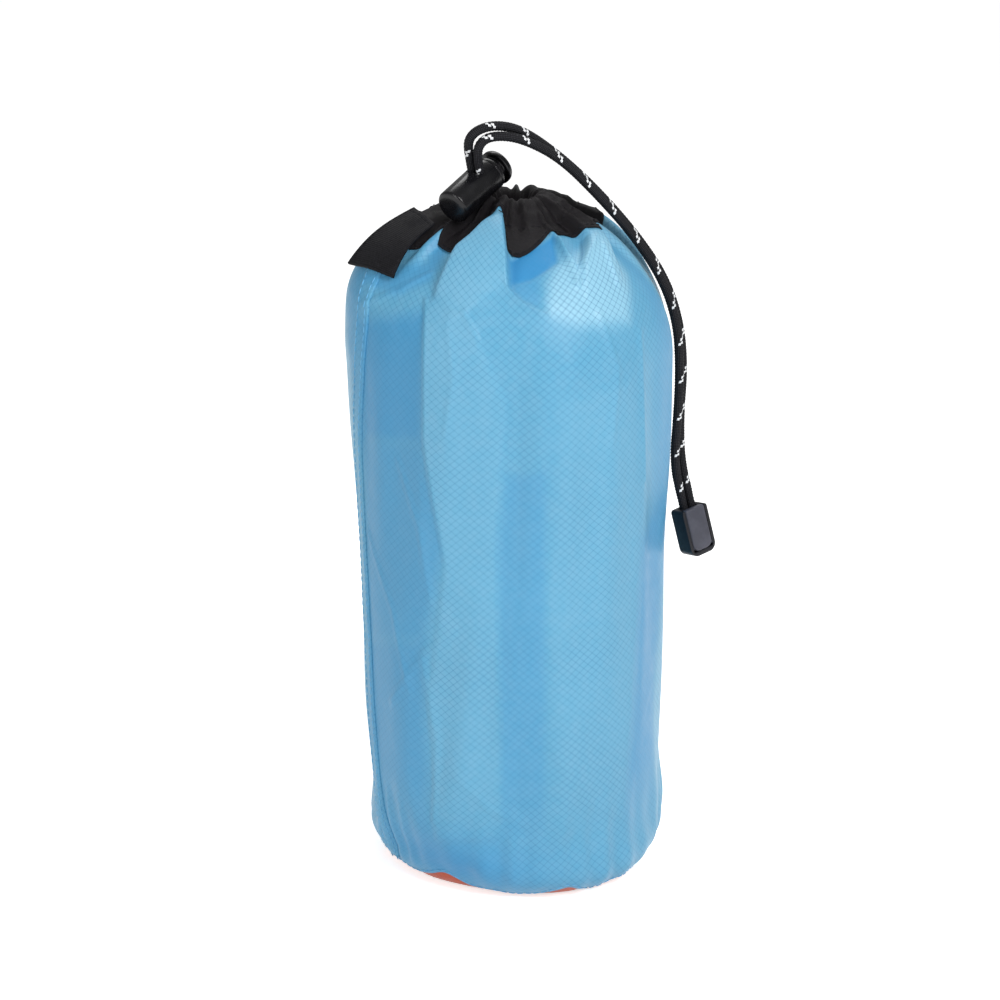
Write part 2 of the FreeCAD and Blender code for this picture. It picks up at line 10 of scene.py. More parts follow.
import bmesh
import bpy
import numpy as np
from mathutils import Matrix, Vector

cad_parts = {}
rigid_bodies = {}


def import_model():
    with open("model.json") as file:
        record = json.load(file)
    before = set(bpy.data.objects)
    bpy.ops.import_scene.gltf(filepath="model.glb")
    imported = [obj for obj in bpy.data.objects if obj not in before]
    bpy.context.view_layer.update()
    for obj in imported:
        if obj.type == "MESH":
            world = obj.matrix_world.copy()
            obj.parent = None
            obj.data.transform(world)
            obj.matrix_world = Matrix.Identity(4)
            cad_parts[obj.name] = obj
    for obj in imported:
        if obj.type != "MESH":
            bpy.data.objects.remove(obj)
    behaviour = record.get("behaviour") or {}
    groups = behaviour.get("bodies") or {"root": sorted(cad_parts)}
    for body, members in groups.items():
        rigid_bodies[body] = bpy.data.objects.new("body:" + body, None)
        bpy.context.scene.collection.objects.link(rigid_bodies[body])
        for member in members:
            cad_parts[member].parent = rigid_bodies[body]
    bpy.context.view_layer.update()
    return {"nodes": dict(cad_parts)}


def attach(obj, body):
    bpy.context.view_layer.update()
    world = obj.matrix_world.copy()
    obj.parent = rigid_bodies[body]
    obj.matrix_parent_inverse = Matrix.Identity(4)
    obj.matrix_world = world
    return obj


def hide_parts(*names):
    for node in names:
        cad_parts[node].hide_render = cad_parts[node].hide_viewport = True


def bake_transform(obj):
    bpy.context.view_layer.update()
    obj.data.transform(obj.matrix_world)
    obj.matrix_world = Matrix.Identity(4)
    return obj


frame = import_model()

MM = 0.001
LOG = logging.getLogger("stuff_sack")

Colour = tuple[float, float, float, float]
Place = tuple[float, float, float]
Outline = tuple[tuple[float, float], ...]
Piece = bpy.types.Object
Inputs = Mapping[object, object]
Socket = bpy.types.NodeSocket


# ---- Helpers for pieces and meshes ----


class Body(Enum):
    """Moving bodies of the sack."""

    SACK = "sack"
    LOCK = "lock"
    BUTTON = "lock_button"
    DOOR = "clip_door"
    LABEL = "label"


def hang(piece: Piece, body: Body, node: Optional[str] = None) -> None:
    """Hangs a piece on a body.

    Args:
        piece: the piece.
        body: the body that carries it.
        node: the solid that it stands in for, or None.
    """
    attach(piece, body.value)
    if node:
        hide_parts(node)


def dressed(piece: Piece, finish: bpy.types.Material) -> Piece:
    """Gives a piece one finish in place of any other.

    Args:
        piece: the piece.
        finish: the material for all of it.

    Returns:
        The same piece.
    """
    piece.data.materials.clear()
    piece.data.materials.append(finish)
    return piece


def unit(v: Sequence[float]) -> np.ndarray:
    """Unit vector along v."""
    v = np.asarray(v, float)
    return v / np.linalg.norm(v)


def smooth(low: float, high: float, x: np.ndarray) -> np.ndarray:
    """Smooth step.

    Args:
        low: where the step starts.
        high: where it ends.
        x: positions.

    Returns:
        0 below low, 1 above high, and a smooth rise between them.
    """
    t = np.clip((np.asarray(x, float) - low) / (high - low), 0.0, 1.0)
    return t * t * (3.0 - 2.0 * t)


def bell(x: np.ndarray, width: float) -> np.ndarray:
    """Bell curve of a width, 1 at 0."""
    return np.exp(-((x / width) ** 2))


def turned(angle: np.ndarray, middle: np.ndarray) -> np.ndarray:
    """Degrees from a middle angle, -180 to 180."""
    return (angle - middle + 180.0) % 360.0 - 180.0


def linked(name: str, data: bpy.types.ID) -> Piece:
    """Makes an object of its data and links it to the scene.

    Args:
        name: the object's name.
        data: its mesh, curve, light or camera.

    Returns:
        The new object, linked to the scene.
    """
    obj = bpy.data.objects.new(name, data)
    bpy.context.scene.collection.objects.link(obj)
    return obj


def mesh_object(
    name: str, points: np.ndarray, faces: Sequence[Sequence[int]], uvs: Optional[np.ndarray] = None
) -> Piece:
    """Makes a smooth mesh piece.

    Args:
        name: the piece's name.
        points: corners in mm, one row each.
        faces: corner numbers of each face.
        uvs: for each point its place on the flat cloth, or None.

    Returns:
        The new object, linked to the scene.
    """
    mesh = bpy.data.meshes.new(name)
    mesh.from_pydata([tuple(p) for p in np.asarray(points) * MM], [], [tuple(f) for f in faces])
    if uvs is not None:
        layer = mesh.uv_layers.new(name="cloth")
        index = np.zeros(len(mesh.loops), int)
        mesh.loops.foreach_get("vertex_index", index)
        layer.data.foreach_set("uv", np.asarray(uvs, np.float32)[index].ravel())
    smoothed(mesh)
    mesh.update()
    return linked(name, mesh)


def smoothed(mesh: bpy.types.Mesh) -> None:
    """Shades every face of a mesh smoothly."""
    mesh.polygons.foreach_set("use_smooth", [True] * len(mesh.polygons))


def keep_painted_shading(piece: Piece, tone: np.ndarray) -> None:
    """Keeps painted light (above 0) and painted shade (below 0), one number for each corner of a mesh, as a
    mesh attribute.
    """
    attribute = piece.data.attributes.new("tone", "FLOAT", "POINT")
    attribute.data.foreach_set("value", tone.astype(np.float32).ravel())


def grid_faces(rows: int, columns: int, closed: bool = False) -> list[tuple[int, ...]]:
    """Faces of a grid.

    Args:
        rows: points along the grid.
        columns: points across it.
        closed: the last column joins the first.

    Returns:
        Corner numbers of the quads.
    """
    faces = []
    for i in range(rows - 1):
        for j in range(columns if closed else columns - 1):
            k = (j + 1) % columns
            faces.append((i * columns + j, i * columns + k, (i + 1) * columns + k, (i + 1) * columns + j))
    return faces


def weld(piece: Piece, reach: float) -> None:
    """Merges corners of a mesh that are close together.

    Args:
        piece: the mesh piece.
        reach: how close, in metres.
    """
    whole = bmesh.new()
    whole.from_mesh(piece.data)
    bmesh.ops.remove_doubles(whole, verts=whole.verts, dist=reach)
    whole.to_mesh(piece.data)
    whole.free()


def face_out(piece: Piece) -> Piece:
    """Turns a closed mesh's faces outwards.

    Args:
        piece: the piece with a closed mesh.

    Returns:
        The same piece.
    """
    whole = bmesh.new()
    whole.from_mesh(piece.data)
    bmesh.ops.recalc_face_normals(whole, faces=whole.faces)
    whole.to_mesh(piece.data)
    whole.free()
    return piece


def baked(piece: Piece) -> Piece:
    """Takes a mesh object's modifiers off and keeps what they made.

    Args:
        piece: the mesh piece with modifiers.

    Returns:
        The same piece.
    """
    graph = bpy.context.evaluated_depsgraph_get()
    graph.update()
    mesh = bpy.data.meshes.new_from_object(piece.evaluated_get(graph))
    piece.modifiers.clear()
    piece.data = mesh
    return piece


def joined(name: str, parts: Sequence[Piece]) -> Piece:
    """Joins mesh objects without modifiers into one.

    Args:
        name: the new piece's name.
        parts: the objects, which are removed.

    Returns:
        The piece.
    """
    whole = bmesh.new()
    for part in parts:
        whole.from_mesh(part.data)
    mesh = bpy.data.meshes.new(name)
    whole.to_mesh(mesh)
    whole.free()
    for part in parts:
        bpy.data.objects.remove(part)
    return linked(name, mesh)


@dataclass(frozen=True)
class Axes:
    """A fitting's own frame."""

    origin: Place
    x: Place
    z: Place

    def matrix(self) -> np.ndarray:
        """Rows of the three axes in the sack's frame.

        Returns:
            A 3 by 3 array of unit vectors.
        """
        z = unit(self.z)
        x = unit(np.asarray(self.x) - z * np.dot(self.x, z))
        return np.array([x, np.cross(z, x), z])

    def place(self, points: np.ndarray) -> np.ndarray:
        """Carries points in mm from this frame to the sack's."""
        return np.asarray(points, float) @ self.matrix() + np.asarray(self.origin)


def fill(tree: bpy.types.NodeTree, node: bpy.types.Node, inputs: Inputs) -> None:
    """Fills a node's inputs.

    Args:
        tree: the node's tree.
        node: the node.
        inputs: a value or socket for each input's number or name; None leaves it alone.
    """
    for key, value in inputs.items():
        if isinstance(value, Socket):
            tree.links.new(value, node.inputs[key])
        elif value is not None:
            node.inputs[key].default_value = value


def add_node(
    tree: bpy.types.NodeTree, kind: str, inputs: Inputs, output: object = 0, **settings: object
) -> Socket:
    """Adds a node to a tree.

    Args:
        tree: the tree.
        kind: the node's type.
        inputs: a value or socket for each input's number or name.
        output: number or name of the output to return.
        settings: the node's own settings.

    Returns:
        The chosen output.
    """
    node = tree.nodes.new(kind)
    for key, value in settings.items():
        setattr(node, key, value)
    fill(tree, node, inputs)
    return node.outputs[output]


# ---- Finishes ----


class Nodes:
    """Builds a material's nodes."""

    def __init__(self, name: str) -> None:
        """Starts an empty material with a Principled shader.

        Args:
            name: the material's name.
        """
        self.material = bpy.data.materials.new(name)
        self.material.use_nodes = True
        self.tree = self.material.node_tree
        self.shader = self.tree.nodes["Principled BSDF"]

    def add(self, kind: str, inputs: Inputs, output: object = 0, **settings: object) -> Socket:
        """Adds a shader node, named without its ShaderNode prefix."""
        return add_node(self.tree, "ShaderNode" + kind, inputs, output, **settings)

    def math(self, operation: str, *inputs: object, clamp: bool = False) -> Socket:
        """Adds a Math node."""
        return self.add("Math", dict(enumerate(inputs)), operation=operation, use_clamp=clamp)

    def times(self, a: object, b: object) -> Socket:
        """a times b."""
        return self.math("MULTIPLY", a, b)

    def plus(self, a: object, b: object) -> Socket:
        """a plus b."""
        return self.math("ADD", a, b)

    def minus(self, a: object, b: object) -> Socket:
        """a minus b."""
        return self.math("SUBTRACT", a, b)

    def wave(self, x: object, pitch: float) -> Socket:
        """Sine wave of a pitch along x."""
        return self.math("SINE", self.times(x, 2 * math.pi / pitch))

    def mix(self, share: object, a: object, b: object) -> Socket:
        """Mixes two colours by a share."""
        return self.add("Mix", {0: share, 6: a, 7: b}, 2, data_type="RGBA")

    def noise(self, vector: object, scale: float, detail: float = 3.0) -> Socket:
        """Noise value at a scale."""
        return self.add("TexNoise", {"Vector": vector, "Scale": scale, "Detail": detail})

    def ramp(self, value: object, low: float, high: float, a: float, b: float) -> Socket:
        """Maps value from low..high to a..b, clamped."""
        return self.add("MapRange", dict(enumerate((value, low, high, a, b))))

    def coords(self) -> Socket:
        """The piece's own coordinates in metres."""
        return self.add("TexCoord", {}, "Object")

    def cloth(self) -> tuple[Socket, Socket]:
        """The two coordinates on the flat cloth or along a cord, in cm."""
        place = self.add("UVMap", {}, uv_map="cloth")
        return self.add("SeparateXYZ", {0: place}, 0), self.add("SeparateXYZ", {0: place}, 1)

    def bump(self, height: object, distance: float, strength: float, under: object = None) -> Socket:
        """Bump normal of a height map whose 0..1 is distance metres."""
        inputs = {"Strength": strength, "Distance": distance, "Height": height, "Normal": under}
        return self.add("Bump", inputs)

    def set(self, **values: object) -> None:
        """Sets inputs of the shader, named with _ for a space."""
        fill(self.tree, self.shader, {key.replace("_", " "): value for key, value in values.items()})


def srgb(r: float, g: float, b: float) -> Colour:
    """Linear colour of an sRGB colour given as 0..255.

    Args:
        r: red.
        g: green.
        b: blue.

    Returns:
        Linear red, green, blue and alpha, 0 to 1.
    """

    def line(c: float) -> float:
        """One channel."""
        c /= 255.0
        return c / 12.92 if c <= 0.04045 else ((c + 0.055) / 1.055) ** 2.4

    return (line(r), line(g), line(b), 1.0)


def faded(colour: Colour, share: float, more: float = 0.0) -> Colour:
    """A colour multiplied by a share, with a little more added, at most white."""
    return tuple(min(1.0, share * x + more) for x in colour[:3]) + (1.0,)


@dataclass(frozen=True)
class Finish:
    """A procedural finish."""

    name: str

    def shade(self, n: Nodes) -> None:
        """Builds the finish's nodes."""
        raise NotImplementedError

    def make(self) -> bpy.types.Material:
        """Builds the material.

        Returns:
            The finished material.
        """
        n = Nodes(self.name)
        self.shade(n)
        return n.material


@dataclass(frozen=True)
class Ripstop(Finish):
    """Coated ripstop nylon: a diagonal grid of heavier threads in a fine weave."""

    colour: Colour
    grid: Colour
    # the next two colours are painted light and painted shade, mixed in where the mesh's shading attribute is
    # above and below 0
    light: Colour
    painted_shade_colour: Colour
    pitch: float = 0.2
    angle: float = 40.0
    line: float = 0.13
    depth: float = 0.34
    crossing: float = 0.3
    thread: float = 0.03
    roughness: float = 0.4

    def shade(self, n: Nodes) -> None:
        """Grid, painted light and shade, weave and creases.

        Args:
            n: the nodes of the material.
        """
        u, v = n.cloth()
        uc = n.times(u, math.sin(math.radians(self.angle)) / self.pitch)
        vs = n.times(v, math.cos(math.radians(self.angle)) / self.pitch)
        lines = []
        for operation in ("ADD", "SUBTRACT"):
            across = n.math("FRACT", n.math(operation, uc, vs))
            away = n.math("ABSOLUTE", n.minus(across, 0.5))
            lines.append(n.ramp(away, 0.5 - self.line, 0.5 - self.line * 0.25, 0.0, 1.0))
        either, both = n.math("MAXIMUM", *lines), n.times(*lines)
        coords = n.coords()
        fine = n.noise(coords, 260.0)
        worn = n.ramp(n.noise(coords, 46.0, 2.0), 0.3, 0.7, 0.55, 1.0)
        broad = n.ramp(n.noise(coords, 22.0, 2.0), 0.3, 0.7, 0.0, 0.6)
        shade = n.mix(broad, self.colour, faded(self.colour, 0.93))
        shade = n.mix(n.ramp(fine, 0.35, 0.75, 0.0, 0.03), shade, (1.0, 1.0, 1.0, 1.0))
        # painted light and shade, read from the mesh's attribute
        tone = n.add("Attribute", {}, "Fac", attribute_name="tone")
        shade = n.mix(n.math("MAXIMUM", tone, 0.0), shade, self.light)
        shade = n.mix(n.math("MAXIMUM", n.times(tone, -1.0), 0.0), shade, self.painted_shade_colour)
        share = n.plus(n.times(n.times(either, self.depth), worn), n.times(both, self.crossing))
        # the grid shows less in painted shade and more in painted light
        share = n.math("MULTIPLY", share, n.ramp(tone, -1.0, 1.0, 0.2, 1.35), clamp=True)
        weave = n.times(n.wave(u, self.thread), n.wave(v, self.thread))
        height = n.plus(n.times(weave, 0.12), n.times(either, 0.5))
        n.set(
            Base_Color=n.mix(share, shade, self.grid),
            Normal=n.bump(height, 0.00006, 0.6, n.bump(n.noise(coords, 55.0, 4.0), 0.0012, 0.5)),
            Roughness=n.ramp(fine, 0.3, 0.7, self.roughness - 0.05, self.roughness + 0.07),
            Specular_IOR_Level=0.3,
        )


@dataclass(frozen=True)
class PlainCloth(Finish):
    """Plain woven cloth or tape."""

    colour: Colour
    fuzz_and_highlight: Colour
    thread: float = 0.045
    relief: float = 0.00012
    roughness: float = 0.62
    ribbed: bool = False
    shine: float = 0.14

    def shade(self, n: Nodes) -> None:
        """Weave, fuzz with a painted highlight on the weave's crowns, and wrinkles.

        Args:
            n: the nodes of the material.
        """
        u, v = n.cloth()
        weft = n.wave(v, self.thread)
        weave = n.times(n.wave(u, self.thread), weft)
        if self.ribbed:
            weave = n.plus(n.times(weave, 0.4), n.times(weft, 0.6))
        coords = n.coords()
        fuzz = n.noise(coords, 700.0)
        # lighter at random where the fuzz is, and on the weave's crowns, which is painted highlight
        share = n.ramp(n.plus(n.times(weave, 0.25), fuzz), 0.2, 1.0, 0.0, 1.0)
        n.set(
            Base_Color=n.mix(share, self.colour, self.fuzz_and_highlight),
            Normal=n.bump(weave, self.relief, 0.6, n.bump(n.noise(coords, 120.0), 0.0011, 0.6)),
            Roughness=n.ramp(fuzz, 0.3, 0.7, self.roughness - 0.08, self.roughness + 0.1),
            Specular_IOR_Level=self.shine,
        )


@dataclass(frozen=True)
class Braid(Finish):
    """Round braid with pale reflective tracer yarns; u runs round the cord from 0 to 1, v along it in cm.

    dashes are the middles of one fleck's dashes, round and along the cord, and dash their half sizes, mm.
    """

    colour: Colour
    tracer: Colour
    lay: float = 1.33
    yarn: float = 0.115
    slant: float = 0.25
    half_girth: float = 4.71
    dashes: Outline = ((-0.85, -1.0), (0.05, -0.45), (-0.1, 0.7), (0.85, 1.15))
    dash: tuple[float, float] = (0.42, 0.44)

    def shade(self, n: Nodes) -> None:
        """Flecks, the braid's yarns and a painted highlight on their raised parts.

        Args:
            n: the nodes of the material.
        """
        u, v = n.cloth()
        twice = n.times(u, 2.0)
        half = n.times(n.math("FLOOR", twice), 0.5)
        turn = n.math("FRACT", n.plus(n.math("DIVIDE", v, self.lay), half))
        y = n.times(n.minus(turn, 0.5), self.lay * 10.0)
        x = n.times(n.minus(n.math("FRACT", twice), 0.5), self.half_girth)
        shown = 0.0
        for cx, cy in self.dashes:
            down = n.minus(y, cy)
            aside = n.minus(n.minus(x, cx), n.times(down, self.slant))
            sizes = zip((aside, down), self.dash)
            inside = (n.math("LESS_THAN", n.math("ABSOLUTE", off), size) for off, size in sizes)
            shown = n.math("MAXIMUM", shown, n.times(*inside))
        across, along = n.times(u, 8.0), n.math("DIVIDE", v, self.yarn)
        height = n.times(*(n.wave(n.math(o, across, along), 1.0) for o in ("ADD", "SUBTRACT")))
        fuzz = n.noise(n.coords(), 1500.0)
        # painted highlight: the raised yarns are much lighter than the hollows between them
        base = n.mix(n.ramp(height, -0.2, 1.0, 0.0, 1.0), self.colour, faded(self.colour, 13.0))
        n.set(
            Base_Color=n.mix(shown, base, self.tracer),
            Normal=n.bump(n.plus(height, n.times(fuzz, 0.6)), 0.00012, 0.7),
            Roughness=n.ramp(fuzz, 0.3, 0.7, 0.5, 0.72),
            Specular_IOR_Level=0.16,
        )


@dataclass(frozen=True)
class Moulding(Finish):
    """Moulded plastic with a fine grain and lightly rubbed edges."""

    colour: Colour
    roughness: float = 0.3
    grain: float = 0.00003

    def shade(self, n: Nodes) -> None:
        """Grain and handling.

        Args:
            n: the nodes of the material.
        """
        coords = n.coords()
        handled = n.noise(coords, 240.0, 4.0)
        share = n.ramp(handled, 0.45, 0.75, 0.0, 0.6)
        n.set(
            Base_Color=n.mix(share, self.colour, faded(self.colour, 1.5, 0.004)),
            Normal=n.bump(n.noise(coords, 2600.0, 2.0), self.grain, 0.5),
            Roughness=n.ramp(handled, 0.3, 0.7, self.roughness - 0.02, self.roughness + 0.02),
            Specular_IOR_Level=0.34,
        )


@dataclass(frozen=True)
class Wire(Finish):
    """Drawn steel wire."""

    def shade(self, n: Nodes) -> None:
        """Streaks of the drawing.

        Args:
            n: the nodes of the material.
        """
        streak = n.noise(n.coords(), 900.0, 2.0)
        n.set(
            Base_Color=n.mix(streak, (0.5, 0.5, 0.52, 1.0), (0.72, 0.72, 0.74, 1.0)),
            Metallic=1.0,
            Roughness=n.ramp(streak, 0.3, 0.7, 0.22, 0.4),
        )


@dataclass(frozen=True)
class Thread(Finish):
    """Twisted sewing thread."""

    colour: Colour

    def shade(self, n: Nodes) -> None:
        """Plies of the thread.

        Args:
            n: the nodes of the material.
        """
        ply = n.noise(n.coords(), 4200.0, 2.0)
        n.set(
            Base_Color=n.mix(ply, faded(self.colour, 0.7), self.colour),
            Normal=n.bump(ply, 0.00005, 0.6),
            Roughness=0.6,
            Specular_IOR_Level=0.15,
        )


class Finishes:
    """Every finish on the sack, made once."""

    def __init__(self) -> None:
        """Makes the materials."""
        # for each ripstop: its colour, its grid, painted light and painted shade
        blues = srgb(96, 165, 199), srgb(34, 98, 150), srgb(146, 197, 220), srgb(54, 138, 191)
        oranges = srgb(186, 72, 34), srgb(124, 42, 18), srgb(200, 96, 50), srgb(150, 56, 28)
        self.sky = Ripstop("sky_ripstop", *blues).make()
        self.orange = Ripstop("orange_ripstop", *oranges).make()
        # black cloth, and the lighter colour of its fuzz and its painted highlight
        blacks = srgb(9, 7, 9), srgb(28, 24, 29)
        self.black = PlainCloth("black_nylon", *blacks, roughness=0.5, shine=0.26).make()
        self.tape = PlainCloth("black_tape", srgb(14, 14, 17), srgb(32, 32, 36), ribbed=True).make()
        self.label = PlainCloth("woven_label", srgb(12, 12, 15), srgb(34, 34, 38), 0.06, ribbed=True).make()
        self.braid = Braid("flecked_braid", srgb(9, 9, 11), srgb(236, 238, 240)).make()
        self.lock = Moulding("lock_acetal", srgb(13, 13, 16), 0.25).make()
        self.clip = Moulding("clip_shell", srgb(20, 21, 27), 0.42).make()
        self.panel = Moulding("clip_panel", srgb(66, 67, 77), 0.45, 0.00006).make()
        self.wire = Wire("spring_wire").make()
        self.blue_thread = Thread("blue_thread", srgb(120, 190, 232)).make()
        self.black_thread = Thread("black_thread", srgb(34, 34, 38)).make()


# ---- The filled sack's surface ----


@dataclass(frozen=True)
class Pleat:
    """A fold of the crown that stands proud between two edges and rises towards the mouth.

    stations are arc lengths above the shoulder, left and right the edges' angles there.
    """

    stations: tuple[float, ...]
    left: tuple[float, ...]
    right: tuple[float, ...]
    height: float
    soft: tuple[float, float]
    rise: tuple[float, float]
    fade: tuple[float, float] = (62.0, 82.0)

    def lift(self, angle: np.ndarray, above: np.ndarray, radius: np.ndarray) -> np.ndarray:
        """Height of the fold over the crown.

        Args:
            angle: degrees round the sack.
            above: arc length above the shoulder, mm.
            radius: distance from the sack's axis, mm.

        Returns:
            Lift in mm.
        """
        left = np.interp(above, self.stations, self.left)
        right = np.interp(above, self.stations, self.right)
        middle = (left + right) / 2
        off = turned(angle, middle)
        per_degree = np.radians(1.0) * radius
        out = self.height * smooth(*self.rise, above) * (1.0 - smooth(*self.fade, above))
        for inside, soft in zip(((off - (left - middle)), ((right - middle) - off)), self.soft):
            out = out / (1.0 + np.exp(-np.clip(4.0 * inside * per_degree / soft, -40, 40)))
        return out


def distance(x: np.ndarray, y: np.ndarray, path: Sequence[tuple[float, float]], closed: bool) -> np.ndarray:
    """Distance of points from a path in the same plane.

    Args:
        x: the points' first coordinate.
        y: their second coordinate.
        path: the path's corners.
        closed: the path is a ring.

    Returns:
        Distances, negative inside a ring.
    """
    corners = list(path) + ([path[0]] if closed else [])
    best = np.full(np.broadcast(x, y).shape, 1e9)
    inside = np.zeros(best.shape, bool)
    for (ax, ay), (bx, by) in zip(corners, corners[1:]):
        dx, dy = bx - ax, by - ay
        t = np.clip(((x - ax) * dx + (y - ay) * dy) / (dx * dx + dy * dy + 1e-9), 0, 1)
        best = np.minimum(best, np.hypot(x - ax - t * dx, y - ay - t * dy))
        if closed:
            crosses = (ay > y) != (by > y)
            inside ^= crosses & (x < ax + dx * (y - ay) / (dy if dy else 1e-9))
    return np.where(inside, -best, best) if closed else best


@dataclass(frozen=True)
class Panel:
    """Area of cloth between creases, raised or sunk a little, with painted light where its shading is above 0
    and painted shade where it is below 0.

    outline is a ring of angles and arc lengths above the shoulder.
    """

    outline: Outline
    tone: float
    lift: float = 0.3
    soft: float = 1.8


@dataclass(frozen=True)
class Crease:
    """Sharp fold line in the cloth, through angles and arc lengths above the shoulder."""

    path: Outline
    height: float = 0.4
    width: float = 1.1


@dataclass(frozen=True)
class Swell:
    """Bell-shaped bulge or hollow: middle and width round the sack in degrees and along the cloth in mm."""

    angle: float
    wide: float
    along: float
    long: float
    height: float

    def lift(self, angle: np.ndarray, along: np.ndarray) -> np.ndarray:
        """Its height at places on the cloth, mm."""
        return self.height * bell(turned(angle, self.angle), self.wide) * bell(along - self.along, self.long)


# over the tunnel's roll and down into the drawn mouth, as radius and height
MOUTH_PROFILE = (
    (17.6, 237.0), (15.6, 238.4), (14.0, 240.0), (12.2, 241.0), (10.4, 240.9), (9.0, 239.6), (8.1, 237.6),
    (7.2, 235.4), (5.8, 233.4), (4.0, 232.0), (2.4, 231.2),
)
SHOULDER_SWELLS = (Swell(192, 26, 28, 20, 6.8), Swell(358, 13, 24, 16, -1.5))
FOOT_SWELLS = (Swell(214, 34, 58, 13, -4.3), Swell(248, 18, 55, 12, -2.3), Swell(312, 30, 55, 11, 2.4))
# painted shade near the foot, added to the cloth's painted shading in a bell shape
FOOT_SHADE = Swell(244, 34, 60, 13, -0.7)
LEAN_ANGLE = 196.0
# where the side leans in: degrees wide, where it starts and ends along the cloth, and how far
LEANS = ((30, (58, 74), (110, 150), -1.5), (26, (108, 140), (190, 226), -1.6))
FACET_ANGLES = (0, 20, 46, 70, 98, 124, 150, 176, 196, 226, 237, 240, 272, 290, 325, 345, 360)
FACET_LIFTS = (-0.9, -0.9, 0.8, -0.6, 0.9, -0.7, 0.7, -0.5, 0.3, 0.9, 1.5, 1.2, -1.2, 0.9, -1.0, -0.9, -0.9)


@dataclass
class FilledSurface:
    """Outer surface of the filled sack, by angle round it and arc length from its base's middle."""

    low_radius: float = 53.6
    full_radius: float = 56.3
    corner_radius: float = 14.0
    shoulder_height: float = 188.0
    shoulder_radius: float = 50.0
    crown_slope: float = 16.0
    pleats: tuple[Pleat, ...] = ()
    panels: tuple[Panel, ...] = ()
    creases: tuple[Crease, ...] = ()
    sag: Optional[np.ndarray] = None
    sag_rows: Optional[np.ndarray] = None
    table: np.ndarray = field(init=False)
    shoulder: float = field(init=False)
    end: float = field(init=False)

    def __post_init__(self) -> None:
        """Works out the profile, as arc length, radius, height and outward normal."""
        flat = self.low_radius - self.corner_radius
        rise = self.shoulder_height - self.corner_radius
        spread = self.full_radius - self.low_radius
        line = [(x, 0.0) for x in np.linspace(0, flat, 40)[:-1]]
        for a in np.radians(np.linspace(-90, 0, 40)):
            line.append((flat + self.corner_radius * math.cos(a), self.corner_radius * (1 + math.sin(a))))
        for z in np.linspace(self.corner_radius, self.shoulder_height, 120)[1:]:
            line.append((self.low_radius + spread / rise * (z - self.corner_radius), z))
        middle = self.full_radius - self.shoulder_radius
        for a in np.radians(np.linspace(0, 90 - self.crown_slope, 80))[1:]:
            r, z = self.shoulder_radius * math.cos(a), self.shoulder_radius * math.sin(a)
            line.append((middle + r, self.shoulder_height + z))
        line = np.array([*line, *MOUTH_PROFILE])
        length = np.concatenate([[0.0], np.cumsum(np.hypot(*np.diff(line, axis=0).T))])
        even = np.linspace(0, length[-1], 1400)
        kernel = np.hanning(13)
        kernel /= kernel.sum()

        def rounded(x: np.ndarray, sign: float) -> np.ndarray:
            """Rounds a coordinate's corners; beyond the axis it goes on mirrored."""
            return np.convolve(np.concatenate([sign * x[6:0:-1], x, [x[-1]] * 6]), kernel, "valid")

        r = rounded(np.interp(even, length, line[:, 0]), -1.0)
        z = rounded(np.interp(even, length, line[:, 1]), 1.0)
        dr, dz = np.gradient(r, even), np.gradient(z, even)
        size = np.hypot(dr, dz)
        self.table = np.stack([even, r, z, dz / size, -dr / size])
        self.shoulder = flat + self.corner_radius * math.pi / 2 + math.hypot(spread, rise)
        self.end = float(length[-1])

    def profile(self, s: np.ndarray) -> tuple[np.ndarray, ...]:
        """Radius, height and outward normal at arc lengths s."""
        return tuple(np.interp(s, self.table[0], row) for row in self.table[1:])

    def spread(self, angle: np.ndarray, above: np.ndarray) -> tuple[np.ndarray, np.ndarray]:
        """Angles and arc lengths above the shoulder as distances round and up the cloth, mm."""
        angle, above = np.asarray(angle, float) % 360.0, np.asarray(above, float)
        return np.radians(angle - 270.0) * self.profile(above + self.shoulder)[0], above

    def drawn(self, path: Outline) -> Outline:
        """A path of angles and arc lengths above the shoulder as distances on the cloth, mm."""
        return tuple(tuple(float(c) for c in self.spread(a, m)) for a, m in path)

    def shares(self, angle: np.ndarray, above: np.ndarray) -> list[tuple[Panel, np.ndarray]]:
        """Tells how much of each panel there is at places on the cloth, 0 to 1.

        Args:
            angle: degrees round the sack.
            above: mm above the shoulder.

        Returns:
            Pairs of a panel and its share at each place.
        """
        x, y = self.spread(angle, above)
        away = [distance(x, y, self.drawn(panel.outline), True) for panel in self.panels]
        return [(p, 1.0 - smooth(-p.soft, p.soft, d)) for p, d in zip(self.panels, away)]

    def tone(self, angle: np.ndarray, s: np.ndarray) -> np.ndarray:
        """Painted light (to 1) and painted shade (to -1) on the cloth.

        Args:
            angle: degrees round the sack.
            s: arc length, mm.

        Returns:
            Painted shading from -1 to 1.
        """
        angle, s = np.broadcast_arrays(np.asarray(angle, float), np.asarray(s, float))
        above = s - self.shoulder
        a = np.radians(angle)
        # painted bands of sheen and shade running up the cloth, round the back and sides
        back = 1.0 - smooth(105.0, 125.0, np.abs(turned(angle, 90.0)))
        sheen_and_shade_bands = np.sin(6 * a + 0.7 * np.sin(above / 37.0) + 1.1) + 0.5 * np.sin(above / 29.0 + 3 * a)
        out = 0.42 * back * np.tanh(2.5 * sheen_and_shade_bands)
        for panel, share in self.shares(angle, above):
            out = out * (1.0 - share) + panel.tone * share
        # the painted light and shade fade out towards the base, and painted shade near the foot is added
        return np.clip(out * smooth(56.0, 100.0, s) + FOOT_SHADE.lift(angle, s), -1.0, 1.0)

